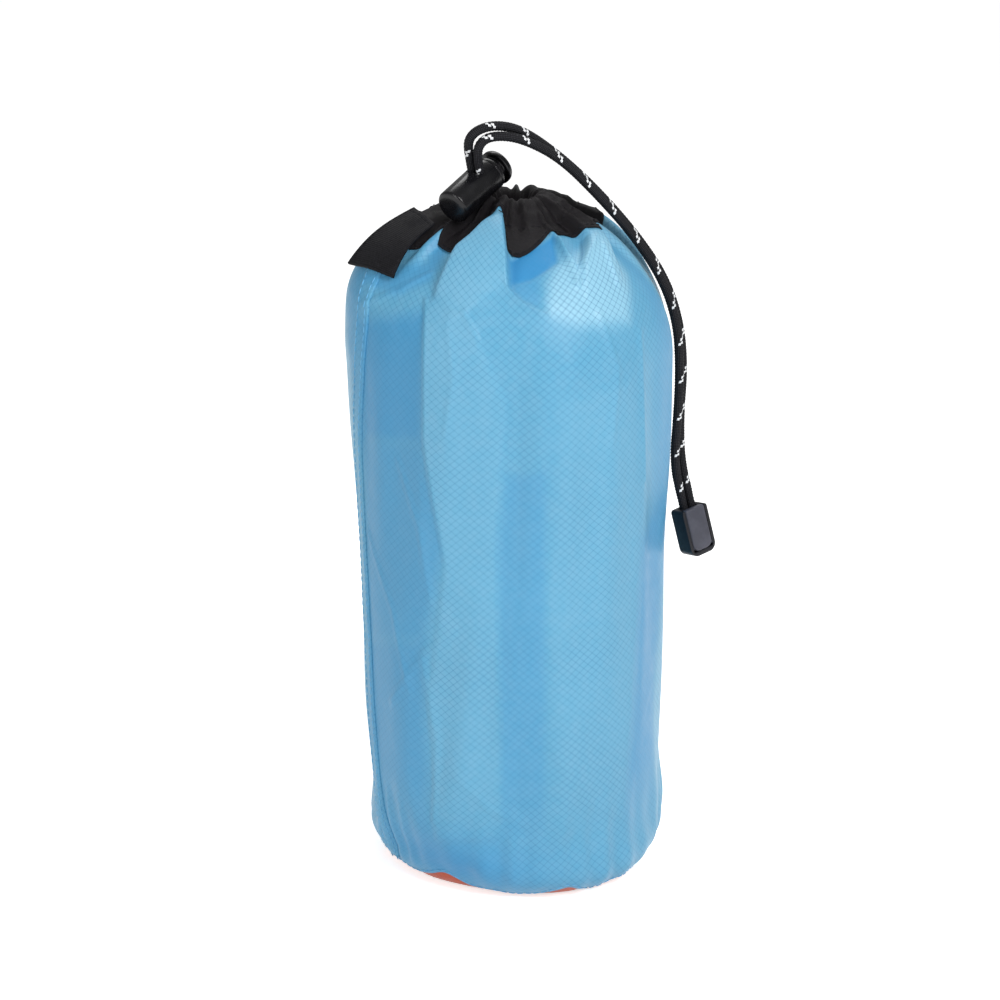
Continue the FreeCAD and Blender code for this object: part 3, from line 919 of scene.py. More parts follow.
    def lift(self, angle: np.ndarray, s: np.ndarray) -> np.ndarray:
        """How far the cloth stands out from the plain filled shape.

        Args:
            angle: degrees round the sack.
            s: arc length, mm.

        Returns:
            Lift in mm along the normal.
        """
        r = self.profile(s)[0]
        above = s - self.shoulder
        out = -2.2 * smooth(20, 50, above) * (1 - smooth(62, 68, above))
        out = out + sum(swell.lift(angle, above) for swell in SHOULDER_SWELLS)
        out = out + sum(swell.lift(angle, s) for swell in FOOT_SWELLS)
        out = out + sum(pleat.lift(angle, above, r) for pleat in self.pleats)
        out = out + sum(panel.lift * share for panel, share in self.shares(angle, above))
        x, y = self.spread(angle, above)
        for crease in self.creases:
            out = out + crease.height * bell(distance(x, y, self.drawn(crease.path), False), crease.width)
        for wide, start, stop, height in LEANS:
            lean = height * bell(turned(angle, LEAN_ANGLE), wide)
            out = out + lean * smooth(*start, s) * (1 - smooth(*stop, s))
        out = out + self.gathers(angle, above, r) + self.bulges(angle, s)
        return out if self.sag is None else out + self.sagged(angle, s)

    def gathers(self, angle: np.ndarray, above: np.ndarray, r: np.ndarray) -> np.ndarray:
        """Gathers of the collar.

        Args:
            angle: degrees round the sack.
            above: arc length above the shoulder, mm.
            r: distance from the sack's axis, mm.

        Returns:
            Lift in mm.
        """
        a = np.radians(angle)
        comb = np.sin(19 * a + 1.1 * np.sin(3 * a + 0.4)) + 0.6 * np.sin(31 * a + 1.7 * np.sin(2 * a))
        share = smooth(50, 64, above) * (1 - smooth(82, 92, above))
        return 0.62 * comb * share * np.clip((r - 5.0) / 10.0, 0.05, 1.0)

    def bulges(self, angle: np.ndarray, s: np.ndarray) -> np.ndarray:
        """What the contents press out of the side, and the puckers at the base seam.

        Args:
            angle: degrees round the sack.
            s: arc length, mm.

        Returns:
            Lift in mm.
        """
        a, z = np.radians(angle), s - 60.0
        side = smooth(60, 90, s) * (1 - smooth(-5, 30, s - self.shoulder))
        pressed = (
            np.interp(np.mod(angle, 360.0), FACET_ANGLES, FACET_LIFTS)
            + 0.3 * np.cos(11 * a - 0.9 + 0.02 * z)
            + 0.4 * np.sin(z / 31.0 + 2.0 * np.cos(a + 0.6))
            + 0.28 * np.sin(z / 13.0 + 3.0 * np.cos(2 * a) + 4.0 * a)
        )
        low = smooth(46, 58, s) * (1 - smooth(66, 92, s))
        puckers = np.sin(34 * a + 1.9 * np.sin(5 * a)) * (0.6 + 0.4 * np.sin(7 * a + 1.0))
        return side * pressed + 0.8 * low * puckers

    def sagged(self, angle: np.ndarray, s: np.ndarray) -> np.ndarray:
        """Displacement found by the cloth simulation, between its grid's points.

        Args:
            angle: degrees round the sack.
            s: arc length, mm.

        Returns:
            Lift in mm.
        """
        rows, columns = self.sag.shape
        u = (np.asarray(angle) % 360.0) / 360.0 * columns
        v = np.interp(s, self.sag_rows, np.arange(rows))
        u, v = np.broadcast_arrays(u, v)
        i, j = np.minimum(v.astype(int), rows - 2), u.astype(int) % columns
        fv, fu = v - i, u - np.floor(u)
        k = (j + 1) % columns
        top = self.sag[i, j] * (1 - fu) + self.sag[i, k] * fu
        low = self.sag[i + 1, j] * (1 - fu) + self.sag[i + 1, k] * fu
        fade = smooth(50.0, 74.0, s) * (1.0 - smooth(self.shoulder + 34.0, self.shoulder + 52.0, s))
        return (top * (1 - fv) + low * fv) * fade

    def at(self, angle: np.ndarray, s: np.ndarray, off: object = 0.0) -> np.ndarray:
        """Points on the cloth.

        Args:
            angle: degrees round the sack, from +X towards +Y.
            s: arc length from the middle of the base, mm.
            off: distance outside the surface, mm.

        Returns:
            Points, one row each, mm.
        """
        angle, s, off = np.broadcast_arrays(*(np.asarray(x, float) for x in (angle, s, off)))
        r, z, nr, nz = self.profile(s)
        lift = self.lift(angle, s) + off
        a = np.radians(angle)
        reach = np.maximum(r + nr * lift, 0.4)
        height = z + nz * lift
        height = np.where(height < 0.6, 0.1 + 0.5 * np.exp(np.minimum(height - 0.6, 0.0) * 2.0), height)
        return np.stack([reach * np.cos(a), reach * np.sin(a), height], axis=-1)

    def flat(self, angle: np.ndarray, s: np.ndarray) -> np.ndarray:
        """Place on the flat cloth in cm."""
        angle, s = np.broadcast_arrays(np.asarray(angle, float), np.asarray(s, float))
        return np.stack([np.radians(angle) * self.full_radius / 10.0, s / 10.0], axis=-1)


CLOTH_SETTINGS = {
    "quality": 6, "mass": 0.2, "air_damping": 2.0, "vertex_group_mass": "pin", "pin_stiffness": 1.0,
    "tension_stiffness": 25.0, "compression_stiffness": 25.0, "shear_stiffness": 8.0,
    "bending_stiffness": 0.25,
}


@dataclass
class Settling:
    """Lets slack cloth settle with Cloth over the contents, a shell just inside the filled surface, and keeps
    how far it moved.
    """

    columns: int = 168
    rows: int = 92
    scale: float = 0.01
    slack: float = 0.035
    frames: int = 30
    gap: float = 0.004
    cap: float = 2.4
    share: float = 1.3

    def simulate(self, start: np.ndarray, inside: np.ndarray) -> np.ndarray:
        """Runs the simulation, pinned at its two rims.

        Args:
            start: grid of the cloth's points before, mm.
            inside: grid of the contents' points, mm.

        Returns:
            The cloth's points after it, mm.
        """
        faces = grid_faces(self.rows, self.columns, True)
        cloth = mesh_object("settling", start.reshape(-1, 3) * self.scale / MM, faces)
        body = mesh_object("contents", inside.reshape(-1, 3) * self.scale / MM, faces)
        last = (self.rows - 1) * self.columns
        rims = [*range(self.columns), *range(last, last + self.columns)]
        cloth.vertex_groups.new(name="pin").add(rims, 1.0, "REPLACE")
        body.modifiers.new("collide", "COLLISION")
        body.collision.thickness_outer = self.gap
        body.collision.cloth_friction = 4.0
        modifier = cloth.modifiers.new("cloth", "CLOTH")
        for key, value in CLOTH_SETTINGS.items():
            setattr(modifier.settings, key, value)
        modifier.settings.shrink_min = -self.slack
        modifier.settings.effector_weights.gravity = 0.5
        modifier.collision_settings.distance_min = self.gap
        modifier.collision_settings.use_self_collision = False
        modifier.point_cache.frame_start = 1
        modifier.point_cache.frame_end = self.frames
        scene = bpy.context.scene
        for number in range(1, self.frames + 1):
            scene.frame_set(number)
        result = bpy.data.meshes.new_from_object(cloth.evaluated_get(bpy.context.evaluated_depsgraph_get()))
        points = np.array([v.co for v in result.vertices]) / self.scale
        scene.frame_set(1)
        for piece in (cloth, body):
            bpy.data.objects.remove(piece)
        bpy.data.meshes.remove(result)
        return points.reshape(start.shape)

    def run(self, surface: FilledSurface) -> None:
        """Runs the simulation and hands its result, evened out and capped, to the surface.

        Args:
            surface: the filled surface, which gets the displacement.
        """
        angle = np.arange(self.columns) * 360.0 / self.columns
        s = np.linspace(50.0, surface.shoulder + 58.0, self.rows)[:, None]
        start = surface.at(angle, s)
        points = self.simulate(start, surface.at(angle, s, -0.9))
        _, _, nr, nz = surface.profile(np.broadcast_to(s, (self.rows, self.columns)))
        a = np.radians(angle)
        normal = np.stack([nr * np.cos(a), nr * np.sin(a), nz], axis=-1)
        moved = ((points - start) * normal).sum(-1)
        LOG.info("cloth moved %.2f to %.2f mm, mean %.2f", moved.min(), moved.max(), np.abs(moved).mean())
        moved = moved - np.median(moved, axis=1)[:, None]
        for _ in range(4):
            moved = (moved + 0.5 * np.roll(moved, 1, 1) + 0.5 * np.roll(moved, -1, 1)) / 2.0
            moved[1:-1] = (moved[:-2] + moved[1:-1] * 2 + moved[2:]) / 4.0
        surface.sag_rows = s[:, 0]
        surface.sag = self.cap * np.tanh(self.share * moved / self.cap)


# the pleats behind: middle and width in degrees, height in mm
BACK_PLEATS = (
    (14, 12, 4.6), (38, 9, 3.8), (61, 13, 4.8), (86, 10, 3.6), (110, 14, 4.6), (135, 9, 4.0), (158, 12, 4.4),
)


def crown_pleats() -> tuple[Pleat, ...]:
    """The folds of the crown, from the label round the front to the back.

    Returns:
        The pleats, in that order.
    """
    pleats = [
        Pleat((20, 50, 70), (184, 182, 180), (206, 211, 212), 4.0, (6, 4), (22, 52)),
        Pleat((30, 56), (217, 217), (222, 222), 3.0, (1.5, 1.5), (32, 50)),
        Pleat(
            (20, 24, 28, 32, 45, 50, 56, 64, 80), (236, 237, 238, 238, 240, 244, 247, 252, 250),
            (290, 279, 272, 268, 267, 266, 265, 262, 262), 6.6, (2.0, 0.9), (20, 48),
        ),
        Pleat(
            (20, 32, 41, 55, 60), (296, 297, 298, 298, 298), (298, 299, 301, 302, 303),
            2.0, (1.1, 1.1), (27, 46),
        ),
        Pleat(
            (28, 33, 41, 50, 60), (299, 300, 304, 316, 318), (320, 322, 326, 333, 336),
            5.0, (1.3, 3.0), (24, 50),
        ),
        Pleat((28, 60), (344, 343), (354, 353), 2.6, (2.5, 2.0), (26, 54)),
        Pleat((40, 50, 60, 72), (188, 189, 190, 188), (210, 210, 208, 206), 2.2, (7, 4), (38, 54), (66, 80)),
    ]
    for i, (middle, width, height) in enumerate(BACK_PLEATS):
        drift = 4.0 * math.sin(2.3 * i)
        left = middle - width * 0.7 - drift, middle - width / 2
        right = middle + width * 0.7 - drift, middle + width / 2
        soft, rise = (1.4 + i % 3, 1.6 + (i + 1) % 3), (20 + 2 * (i % 4), 54)
        pleats.append(Pleat((22, 60), left, right, height, soft, rise))
    return tuple(pleats)


PANELS = (
    # painted shade left of the front fold, from the crown down
    Panel(((205, 14), (236, 22), (238, -22), (206, -26)), -0.6, -0.5, 3.5),
    Panel(((206, -26), (238, -22), (246, -56), (237, -92), (202, -100)), -0.42, -0.4, 4.0),
    Panel(((203, -100), (237, -92), (238, -172), (211, -180)), -0.45, -0.4, 4.0),
    # broad panel of faint painted light right of the fold
    Panel(
        (
            (235, 26), (252, 24), (267, -6), (264, -54), (266, -163), (240, -166), (239, -113), (246, -60),
            (239, -21),
        ),
        0.1, 0.5, 1.4,
    ),
    # shaded middle
    Panel(((268, -32), (281, -30), (282, -163), (266, -163), (265, -54)), -0.3, -0.4, 2.6),
    # faint painted light on the right panel, and painted shade on the strip at the right
    Panel(((286, -6), (314, -2), (323, -82), (316, -170), (288, -175), (283, -75)), 0.1, 0.5, 3.0),
    Panel(((324, -60), (346, -50), (346, -186), (317, -176)), -0.55, -0.2, 5.0),
    # painted light on the wide pleat, and painted shade on its left
    Panel(((232, 52), (259, 61), (266, 47), (267, 33), (249, 20), (236, 30)), 0.2, 0.3, 1.2),
    Panel(((199, 26), (225, 40), (218, 50), (230, 49), (233, 33), (221, 25)), -0.5, -0.3, 2.0),
    # painted shade in the hollow under the collar's lobe and next to it, and painted light on the corner
    # right of it
    Panel(((268, 44), (278, 49), (300, 56), (293, 42), (277, 35), (269, 33)), -1.0, -0.6, 1.2),
    Panel(((269, 34), (287, 37), (282, 24), (270, 30)), -0.4, -0.2),
    Panel(
        ((284, 34), (292, 41), (324, 50), (332, 44), (328, 33), (316, 17), (294, 18), (282, 23)),
        0.9, 0.5, 4.0,
    ),
)

FRONT_CREASES = (
    Crease(((267, 47), (268, 32), (274, 26), (282, 23)), 0.9, 0.9),
    Crease(((301, 53), (297, 41), (297, 32)), 0.8, 0.9),
    Crease(((297, 33), (306, 41), (320, 48)), 0.7, 0.9),
    Crease(((208, 19), (221, 27), (231, 36)), 0.6, 0.9),
    Crease(((235, 26), (239, 8), (239, -21), (246, -62)), 0.55, 0.9),
    Crease(((252, 23), (258, 14)), 0.5, 0.9),
    Crease(((221, -118), (239, -95), (249, -87)), 0.5, 1.2),
    Crease(((237, -100), (242, -128), (240, -158)), 0.45, 1.3),
    Crease(((265, -96), (267, -125), (266, -159)), 0.4, 1.4),
    Crease(((321, 13), (324, -39)), 0.5, 1.2),
    Crease(((320, 44), (317, 30)), 0.6, 0.9),
    Crease(((226, -30), (236, -52), (240, -78)), 0.4, 1.2),
    Crease(((206, -60), (222, -84), (231, -112)), 0.4, 1.2),
    Crease(((250, -140), (262, -152), (275, -158)), 0.45, 1.2),
    Crease(((284, -128), (296, -150), (314, -160)), 0.4, 1.2),
    Crease(((246, 20), (250, 2), (247, -18)), 0.35),
    Crease(((303, 22), (308, 2), (305, -24))),
)

BACK_CREASES = (
    Crease(((24, 30), (20, 5), (26, -30)), 0.5),
    Crease(((64, 34), (70, 4), (66, -50)), 0.5),
    Crease(((103, 28), (96, -8), (104, -44), (98, -90)), 0.5),
    Crease(((146, 32), (152, -2), (144, -36)), 0.5),
    Crease(((84, -60), (110, -96), (122, -130))),
    Crease(((170, 20), (176, -30), (172, -80))),
    Crease(((10, -84), (16, -128))),
)

# angle and arc length above the shoulder
COLLAR_SEAM = (
    (0, 49), (14, 55), (26, 46), (38, 54), (50, 46), (61, 55), (74, 46), (86, 53), (98, 45),
    (110, 55), (123, 46), (135, 53), (147, 46), (158, 55), (170, 46), (182, 50), (195, 47), (204, 44),
    (209, 40), (214, 43), (218, 50), (220, 55), (223, 48), (232, 46), (240, 45), (244, 50), (247, 56),
    (252, 63), (258, 65), (262, 63), (265, 56), (267, 48), (270, 46), (274, 46), (279, 48), (287, 52),
    (297, 57), (304, 56), (312, 54), (318, 52), (325, 51), (331, 50), (342, 55), (351, 54), (360, 49),
)
# where puckers draw the base seam up: middle and width in degrees, height in mm
BASE_PUCKERS = (
    (239, 9, 6.2), (291, 9, 7.0), (320, 12, 5.0), (25, 14, 3.5), (80, 10, 4.6), (140, 14, 3.8),
    (188, 10, 3.0),
)


def collar_seam(angle: np.ndarray, surface: FilledSurface) -> np.ndarray:
    """Arc length of the seam between the side and the collar at angles."""
    return surface.shoulder + np.interp(np.asarray(angle) % 360.0, *zip(*COLLAR_SEAM))


def base_seam(angle: np.ndarray) -> np.ndarray:
    """Finds the arc length of the seam between the base and the side.

    Args:
        angle: degrees round the sack.

    Returns:
        Arc length in mm at each angle.
    """
    angle = np.asarray(angle, float) % 360.0
    puckers = sum(height * bell(turned(angle, middle), width) for middle, width, height in BASE_PUCKERS)
    return 45.6 + 0.5 * np.sin(np.radians(angle) * 21) + puckers


# ---- Stitches ----


@dataclass(frozen=True)
class Stitch:
    """Sizes of a stitch in mm: from one to the next, its length, and the thread's radius."""

    pitch: float
    length: float
    thread: float


FELL_STITCH, HEM_STITCH, BASE_STITCH = Stitch(2.9, 2.5, 0.24), Stitch(2.6, 2.1, 0.2), Stitch(2.9, 2.4, 0.2)
LABEL_STITCH, EYELET_STITCH = Stitch(2.2, 1.7, 0.16), Stitch(0.42, 0.6, 0.55)


class StitchTree:
    """Geometry Nodes that lay stitches of thread along a seam line."""

    wander: float = 0.06
    seed: int = 11

    def __init__(self) -> None:
        """Builds the tree once."""
        self.tree = bpy.data.node_groups.new("stitch_row", "GeometryNodeTree")
        face = self.tree.interface
        self.ids: dict[str, str] = {}
        for name in ("Seam", "Pitch", "Length", "Thread", "Wander", "Finish"):
            kind = {"Seam": "Geometry", "Finish": "Material"}.get(name, "Float")
            self.ids[name] = face.new_socket(name, in_out="INPUT", socket_type="NodeSocket" + kind).identifier
        face.new_socket("Stitches", in_out="OUTPUT", socket_type="NodeSocketGeometry")
        given = {name: self.add("NodeGroupInput", {}, name) for name in self.ids}
        thread, wander = given["Thread"], given["Wander"]
        line = self.add("GeometryNodeMeshToCurve", {0: given["Seam"]})
        even = self.add("GeometryNodeResampleCurve", {"Curve": line, "Length": given["Pitch"]}, mode="LENGTH")
        ball = self.add("GeometryNodeMeshUVSphere", {"Segments": 6, "Rings": 5, "Radius": 1.0})
        half = self.add("ShaderNodeMath", {0: given["Length"], 1: 0.5}, operation="MULTIPLY")
        size = self.add("ShaderNodeCombineXYZ", {0: thread, 1: thread, 2: half})
        tangent = self.add("GeometryNodeInputTangent", {})
        along = self.add("FunctionNodeAlignRotationToVector", {"Vector": tangent}, axis="Z")
        less = self.add("ShaderNodeMath", {0: wander, 1: -1.0}, operation="MULTIPLY")
        low, high = (self.add("ShaderNodeCombineXYZ", {0: x, 1: x, 2: x}) for x in (less, wander))
        span = {0: low, 1: high, "Seed": self.seed}
        wobble = self.add("FunctionNodeRandomValue", span, data_type="FLOAT_VECTOR")
        wobble = self.add("FunctionNodeEulerToRotation", {0: wobble})
        turn = self.add("FunctionNodeRotateRotation", {0: along, 1: wobble})
        laid = {"Points": even, "Instance": ball, "Rotation": turn, "Scale": size}
        real = self.add("GeometryNodeRealizeInstances", {0: self.add("GeometryNodeInstanceOnPoints", laid)})
        dress = self.add("GeometryNodeSetMaterial", {"Geometry": real, "Material": given["Finish"]})
        fill(self.tree, self.tree.nodes.new("NodeGroupOutput"), {0: dress})

    def add(self, kind: str, inputs: Inputs, output: object = 0, **settings: object) -> Socket:
        """Adds a node to the tree."""
        return add_node(self.tree, kind, inputs, output, **settings)

    def lay(
        self, name: str, lines: Sequence[np.ndarray], finish: bpy.types.Material, stitch: Stitch
    ) -> Piece:
        """Lays stitches along lines.

        Args:
            name: the piece's name.
            lines: each seam line's points, mm.
            finish: the thread's material.
            stitch: the stitches' sizes.

        Returns:
            The stitches as one plain mesh.
        """
        mesh = bpy.data.meshes.new(name)
        points, edges = [], []
        for line in lines:
            first = len(points)
            points += [tuple(p) for p in np.asarray(line) * MM]
            edges += [(first + i, first + i + 1) for i in range(len(line) - 1)]
        mesh.from_pydata(points, edges, [])
        piece = linked(name, mesh)
        modifier = piece.modifiers.new("stitches", "NODES")
        modifier.node_group = self.tree
        for key, value in (("Pitch", stitch.pitch), ("Length", stitch.length), ("Thread", stitch.thread)):
            modifier[self.ids[key]] = value * MM
        modifier[self.ids["Wander"]] = self.wander
        modifier[self.ids["Finish"]] = finish
        smoothed(baked(piece).data)
        return piece


# ---- Cloth parts ----


@dataclass
class Sack:
    """Side, base, side seam, collar and label of the sack."""

    surface: FilledSurface
    finishes: Finishes
    stitches: StitchTree
    columns: int = 420
    base_rows: int = 34
    collar_rows: int = 74
    seam_width: float = 7.0
    seam_gauge: float = 0.75
    seam_row: float = 0.3
    label_length: float = 24.0
    label_width: float = 23.0
    label_gauge: float = 0.7
    label_arch: float = 2.6
    label_top: tuple[Place, Place] = ((-33.5, -2.0, 237.0), (-26.0, -20.0, 234.5))
    label_foot: tuple[Place, Place] = ((-56.0, -15.5, 220.5), (-40.0, -30.5, 218.5))
    label_bend: tuple[Place, Place] = ((-0.0312, -0.012, 0.2345), (-0.0356, -0.0148, 0.2306))

    def cloth(
        self, name: str, points: np.ndarray, uvs: np.ndarray, finish: bpy.types.Material,
        tone: Optional[np.ndarray] = None, reach: float = 0.00001,
    ) -> Piece:
        """A sheet of cloth, welded where its edges meet.

        Args:
            name: the piece's name.
            points: grid of points, mm.
            uvs: their places on the flat cloth, cm.
            finish: its material.
            tone: the painted light and shade at each point, or None.
            reach: how close the corners that are welded lie, in metres.

        Returns:
            The sheet.
        """
        faces = grid_faces(*points.shape[:2])
        piece = mesh_object(name, points.reshape(-1, 3), faces, uvs.reshape(-1, 2))
        if tone is not None:
            keep_painted_shading(piece, tone)
        weld(dressed(piece, finish), reach)
        return piece

    def side(self) -> Piece:
        """The blue side, from the base seam to under the collar.

        Returns:
            The piece side_cloth.
        """
        angle = np.linspace(0, 360, self.columns + 1)
        # rows lie closer together at the base and on the crown
        share = np.concatenate(
            [np.linspace(0, 0.12, 30)[:-1], np.linspace(0.12, 0.72, 100)[:-1], np.linspace(0.72, 1.0, 92)]
        )
        low, high = base_seam(angle), collar_seam(angle, self.surface) + 3.0
        s = low + (high - low) * share[:, None]
        around = np.broadcast_to(angle, s.shape)
        points, uvs, tone = (f(around, s) for f in (self.surface.at, self.surface.flat, self.surface.tone))
        return self.cloth("side_cloth", points, uvs, self.finishes.sky, tone, 0.00002)

    def base(self) -> Piece:
        """The round orange base, tucked under the side at its seam.

        Returns:
            The piece base_cloth.
        """
        angle = np.linspace(0, 360, 241)
        seam, thick = base_seam(angle), 0.15
        s = 0.5 + (seam + 1.0) * np.linspace(0, 1, self.base_rows)[:, None]
        around = np.broadcast_to(angle, s.shape)
        points = self.surface.at(around, s, -0.35 * smooth(-4, 0, s - seam))
        points[..., 2] = np.maximum(points[..., 2], thick * (1 - smooth(30, 44, s)))
        a = np.radians(around)
        uvs = np.stack([s / 10.0 * np.cos(a), s / 10.0 * np.sin(a)], axis=-1)
        points = np.concatenate([points.reshape(-1, 3), [[0, 0, thick]]])
        uvs = np.concatenate([uvs.reshape(-1, 2), [[0, 0]]])
        middle = len(points) - 1
        faces = grid_faces(self.base_rows, len(angle)) + [(middle, j + 1, j) for j in range(len(angle) - 1)]
        piece = mesh_object("base_cloth", points, faces, uvs)
        weld(dressed(piece, self.finishes.orange), 0.00001)
        return piece

    def collar(self) -> Piece:
        """The black collar: its lapped hem, its gathers, the tunnel's roll and the drawn mouth.

        Returns:
            The piece collar_cloth.
        """
        angle = np.linspace(0, 360, 721)
        start = collar_seam(angle, self.surface)
        share = np.linspace(0, 1, self.collar_rows) ** 0.9
        s = start + (self.surface.end - start) * share[:, None]
        around = np.broadcast_to(angle, s.shape)
        off = 0.55 + 0.25 * np.exp(-((s - start - 1.2) ** 2) / 0.8)
        tuck = self.surface.at(angle, start + 0.4, 0.05)[None]
        points = np.concatenate([tuck, self.surface.at(around, s, off)])
        flat = self.surface.flat(around, s)
        return self.cloth("collar_cloth", points, np.concatenate([flat[:1], flat]), self.finishes.black)

    def binding(self) -> Piece:
        """Tape over the raw edges of the base seam, inside.

        Returns:
            The piece base_tape.
        """
        around, s = np.meshgrid(np.linspace(0, 360, 181), 45.0 + 8.0 * np.linspace(0, 1, 6))
        points = self.surface.at(around, s, -1.2)
        return self.cloth("base_tape", points, self.surface.flat(around, s), self.finishes.tape)

    def seam_line(self, s: np.ndarray) -> np.ndarray:
        """Finds the angle of the side seam at arc lengths, without kinks.

        Args:
            s: arc lengths in mm.

        Returns:
            Degrees at each arc length.
        """
        stations = (-190, -160, -125, -70, -30, 0, 16, 28, 40, 60)
        angles = (207, 207, 203.5, 200.5, 200, 205, 208, 206, 203, 199)
        above = s - self.surface.shoulder
        return np.mean([np.interp(above + d, stations, angles) for d in np.linspace(-12.0, 12.0, 9)], axis=0)

    def seam(self) -> list[Piece]:
        """The felled side seam, a raised strip of doubled cloth, with its two rows of stitches.

        Returns:
            The strip and its stitches.
        """
        s = np.linspace(50.0, self.surface.shoulder + 38.0, 250)
        middle, r = self.seam_line(s), self.surface.profile(s)[0]
        half = np.array([(-0.5, 0.0), (-0.5, 0.55), (-0.44, 0.95), (-0.3, 1.0), (-0.1, 0.9)])
        across, high = np.concatenate([half, half[::-1] * (-1, 1)]).T
        angle = middle[:, None] + np.degrees(across * self.seam_width / r[:, None])
        along = np.broadcast_to(s[:, None], angle.shape)
        points = self.surface.at(angle, along, -0.15 + self.seam_gauge * high)
        count, last = len(across), (len(s) - 1) * len(across)
        faces = grid_faces(len(s), count, True)
        faces += [tuple(range(count - 1, -1, -1)), tuple(range(last, last + count))]
        strip = mesh_object(
            "side_seam_fell", points.reshape(-1, 3), faces, self.surface.flat(angle, along).reshape(-1, 2)
        )
        keep_painted_shading(strip, self.surface.tone(angle, along))
        face_out(dressed(strip, self.finishes.sky))
        shift = np.degrees(self.seam_row * self.seam_width / r)
        rows = [self.surface.at(middle + side * shift, s, 0.62) for side in (-1, 1)]
        return [strip, self.stitches.lay("side_seam_stitches", rows, self.finishes.blue_thread, FELL_STITCH)]

    def hem_stitches(self) -> list[Piece]:
        """Stitches on the collar's hem, under the tunnel and round the base seam.

        Returns:
            One piece for each row of stitches.
        """
        angle = np.linspace(0, 360, 900)
        hem = collar_seam(angle, self.surface) + 1.5
        tunnel = np.full(angle.shape, self.surface.shoulder + 62.0)
        black, blue = self.finishes.black_thread, self.finishes.blue_thread
        return [
            self.stitches.lay(name, [self.surface.at(angle, s, off)], finish, stitch)
            for name, s, off, finish, stitch in (
                ("collar_stitches", hem, 0.85, black, HEM_STITCH),
                ("tunnel_stitches", tunnel, 0.6, black, HEM_STITCH),
                ("base_stitches", base_seam(angle) + 1.6, 0.1, blue, BASE_STITCH),
            )
        ]

    def rise_over_cloth(self, points: np.ndarray, way: np.ndarray, gap: float = 0.3) -> np.ndarray:
        """How far a sheet's points have to move to lie over the cloth of the crown's left.

        Args:
            points: a grid of points, mm.
            way: unit direction in which they may move.
            gap: distance over the cloth, mm.

        Returns:
            Distances for the grid, smoothed, mm.
        """
        angle = np.arange(176.0, 236.0, 0.75)
        s = np.arange(self.surface.shoulder + 5.0, self.surface.shoulder + 66.0, 0.75)[:, None]
        cloth = self.surface.at(angle, s)
        normal = np.cross(np.gradient(cloth, axis=1), np.gradient(cloth, axis=0))
        normal /= np.linalg.norm(normal, axis=-1, keepdims=True)
        if (normal @ way).mean() < 0:
            normal = -normal
        cloth, normal = cloth.reshape(-1, 3), normal.reshape(-1, 3)
        need = np.zeros(points.shape[:2])
        for row, line in enumerate(points):
            away = line[:, None] - cloth[None]
            near = (away**2).sum(-1).argmin(axis=1)
            over = (away[np.arange(len(near)), near] * normal[near]).sum(-1)
            need[row] = np.maximum(gap - over, 0.0) / np.clip(normal[near] @ way, 0.4, 1.0)
        rise = need
        for _ in range(12):
            wide = np.pad(rise, 1, mode="edge")
            mean = (wide[:-2, 1:-1] + wide[2:, 1:-1] + wide[1:-1, :-2] + wide[1:-1, 2:]) / 4.0
            rise = np.maximum(mean, need)
        return rise

    def label(self) -> list[Piece]:
        """The label, sewn on by its upper edge over the side seam and bent over the shoulder.

        Returns:
            The label and its stitches.
        """
        count, across = 40, 30
        up, x = np.linspace(0, 1, count)[:, None], np.linspace(-0.5, 0.5, across)[None]
        top, foot = np.array(self.label_top), np.array(self.label_foot)
        way = (x + 0.5)[..., None]
        sewn, free = top[0] + (top[1] - top[0]) * way, foot[0] + (foot[1] - foot[0]) * way
        face = unit(np.cross(top[1] - foot[0], top[0] - foot[1]))
        face = face if face[2] > 0 else -face
        middle = free + (sewn - free) * up[..., None]
        arch = self.label_arch * np.sin(np.pi * up**0.9) + 0.5 * np.cos(2 * np.pi * x) * (1 - up)
        arch = arch + self.rise_over_cloth(middle + face * arch[..., None], face)
        low, grid = (middle + face * (arch + gauge)[..., None] for gauge in (0.0, self.label_gauge))
        s = (self.surface.shoulder + 51.0) - self.label_length * (1 - up)
        flat = np.stack(np.broadcast_arrays(x * self.label_width / 10.0, s / 10.0), axis=-1).reshape(-1, 2)
        size = count * across
        faces = [tuple(reversed(f)) for f in grid_faces(count, across)]
        faces += [tuple(i + size for i in f) for f in grid_faces(count, across)]
        index = np.arange(size).reshape(count, across)
        rim = np.concatenate([index[0], index[1:, -1], index[-1, -2::-1], index[-2:0:-1, 0]]).tolist()
        faces += [(a, b, b + size, a + size) for a, b in zip(rim, rim[1:] + rim[:1])]
        points = np.concatenate([low.reshape(-1, 3), grid.reshape(-1, 3)])
        tab = mesh_object("label_cloth", points, faces, np.concatenate([flat, flat]))
        face_out(dressed(tab, self.finishes.label))
        lift = grid + 0.06 * unit(np.cross(grid[0, 5] - grid[0, 0], grid[5, 5] - grid[0, 0]))
        lines = [lift[count - 3, 1:-1], lift[2:-2, 1], lift[2:-2, -2]]
        return [tab, self.stitches.lay("label_stitches", lines, self.finishes.black_thread, LABEL_STITCH)]

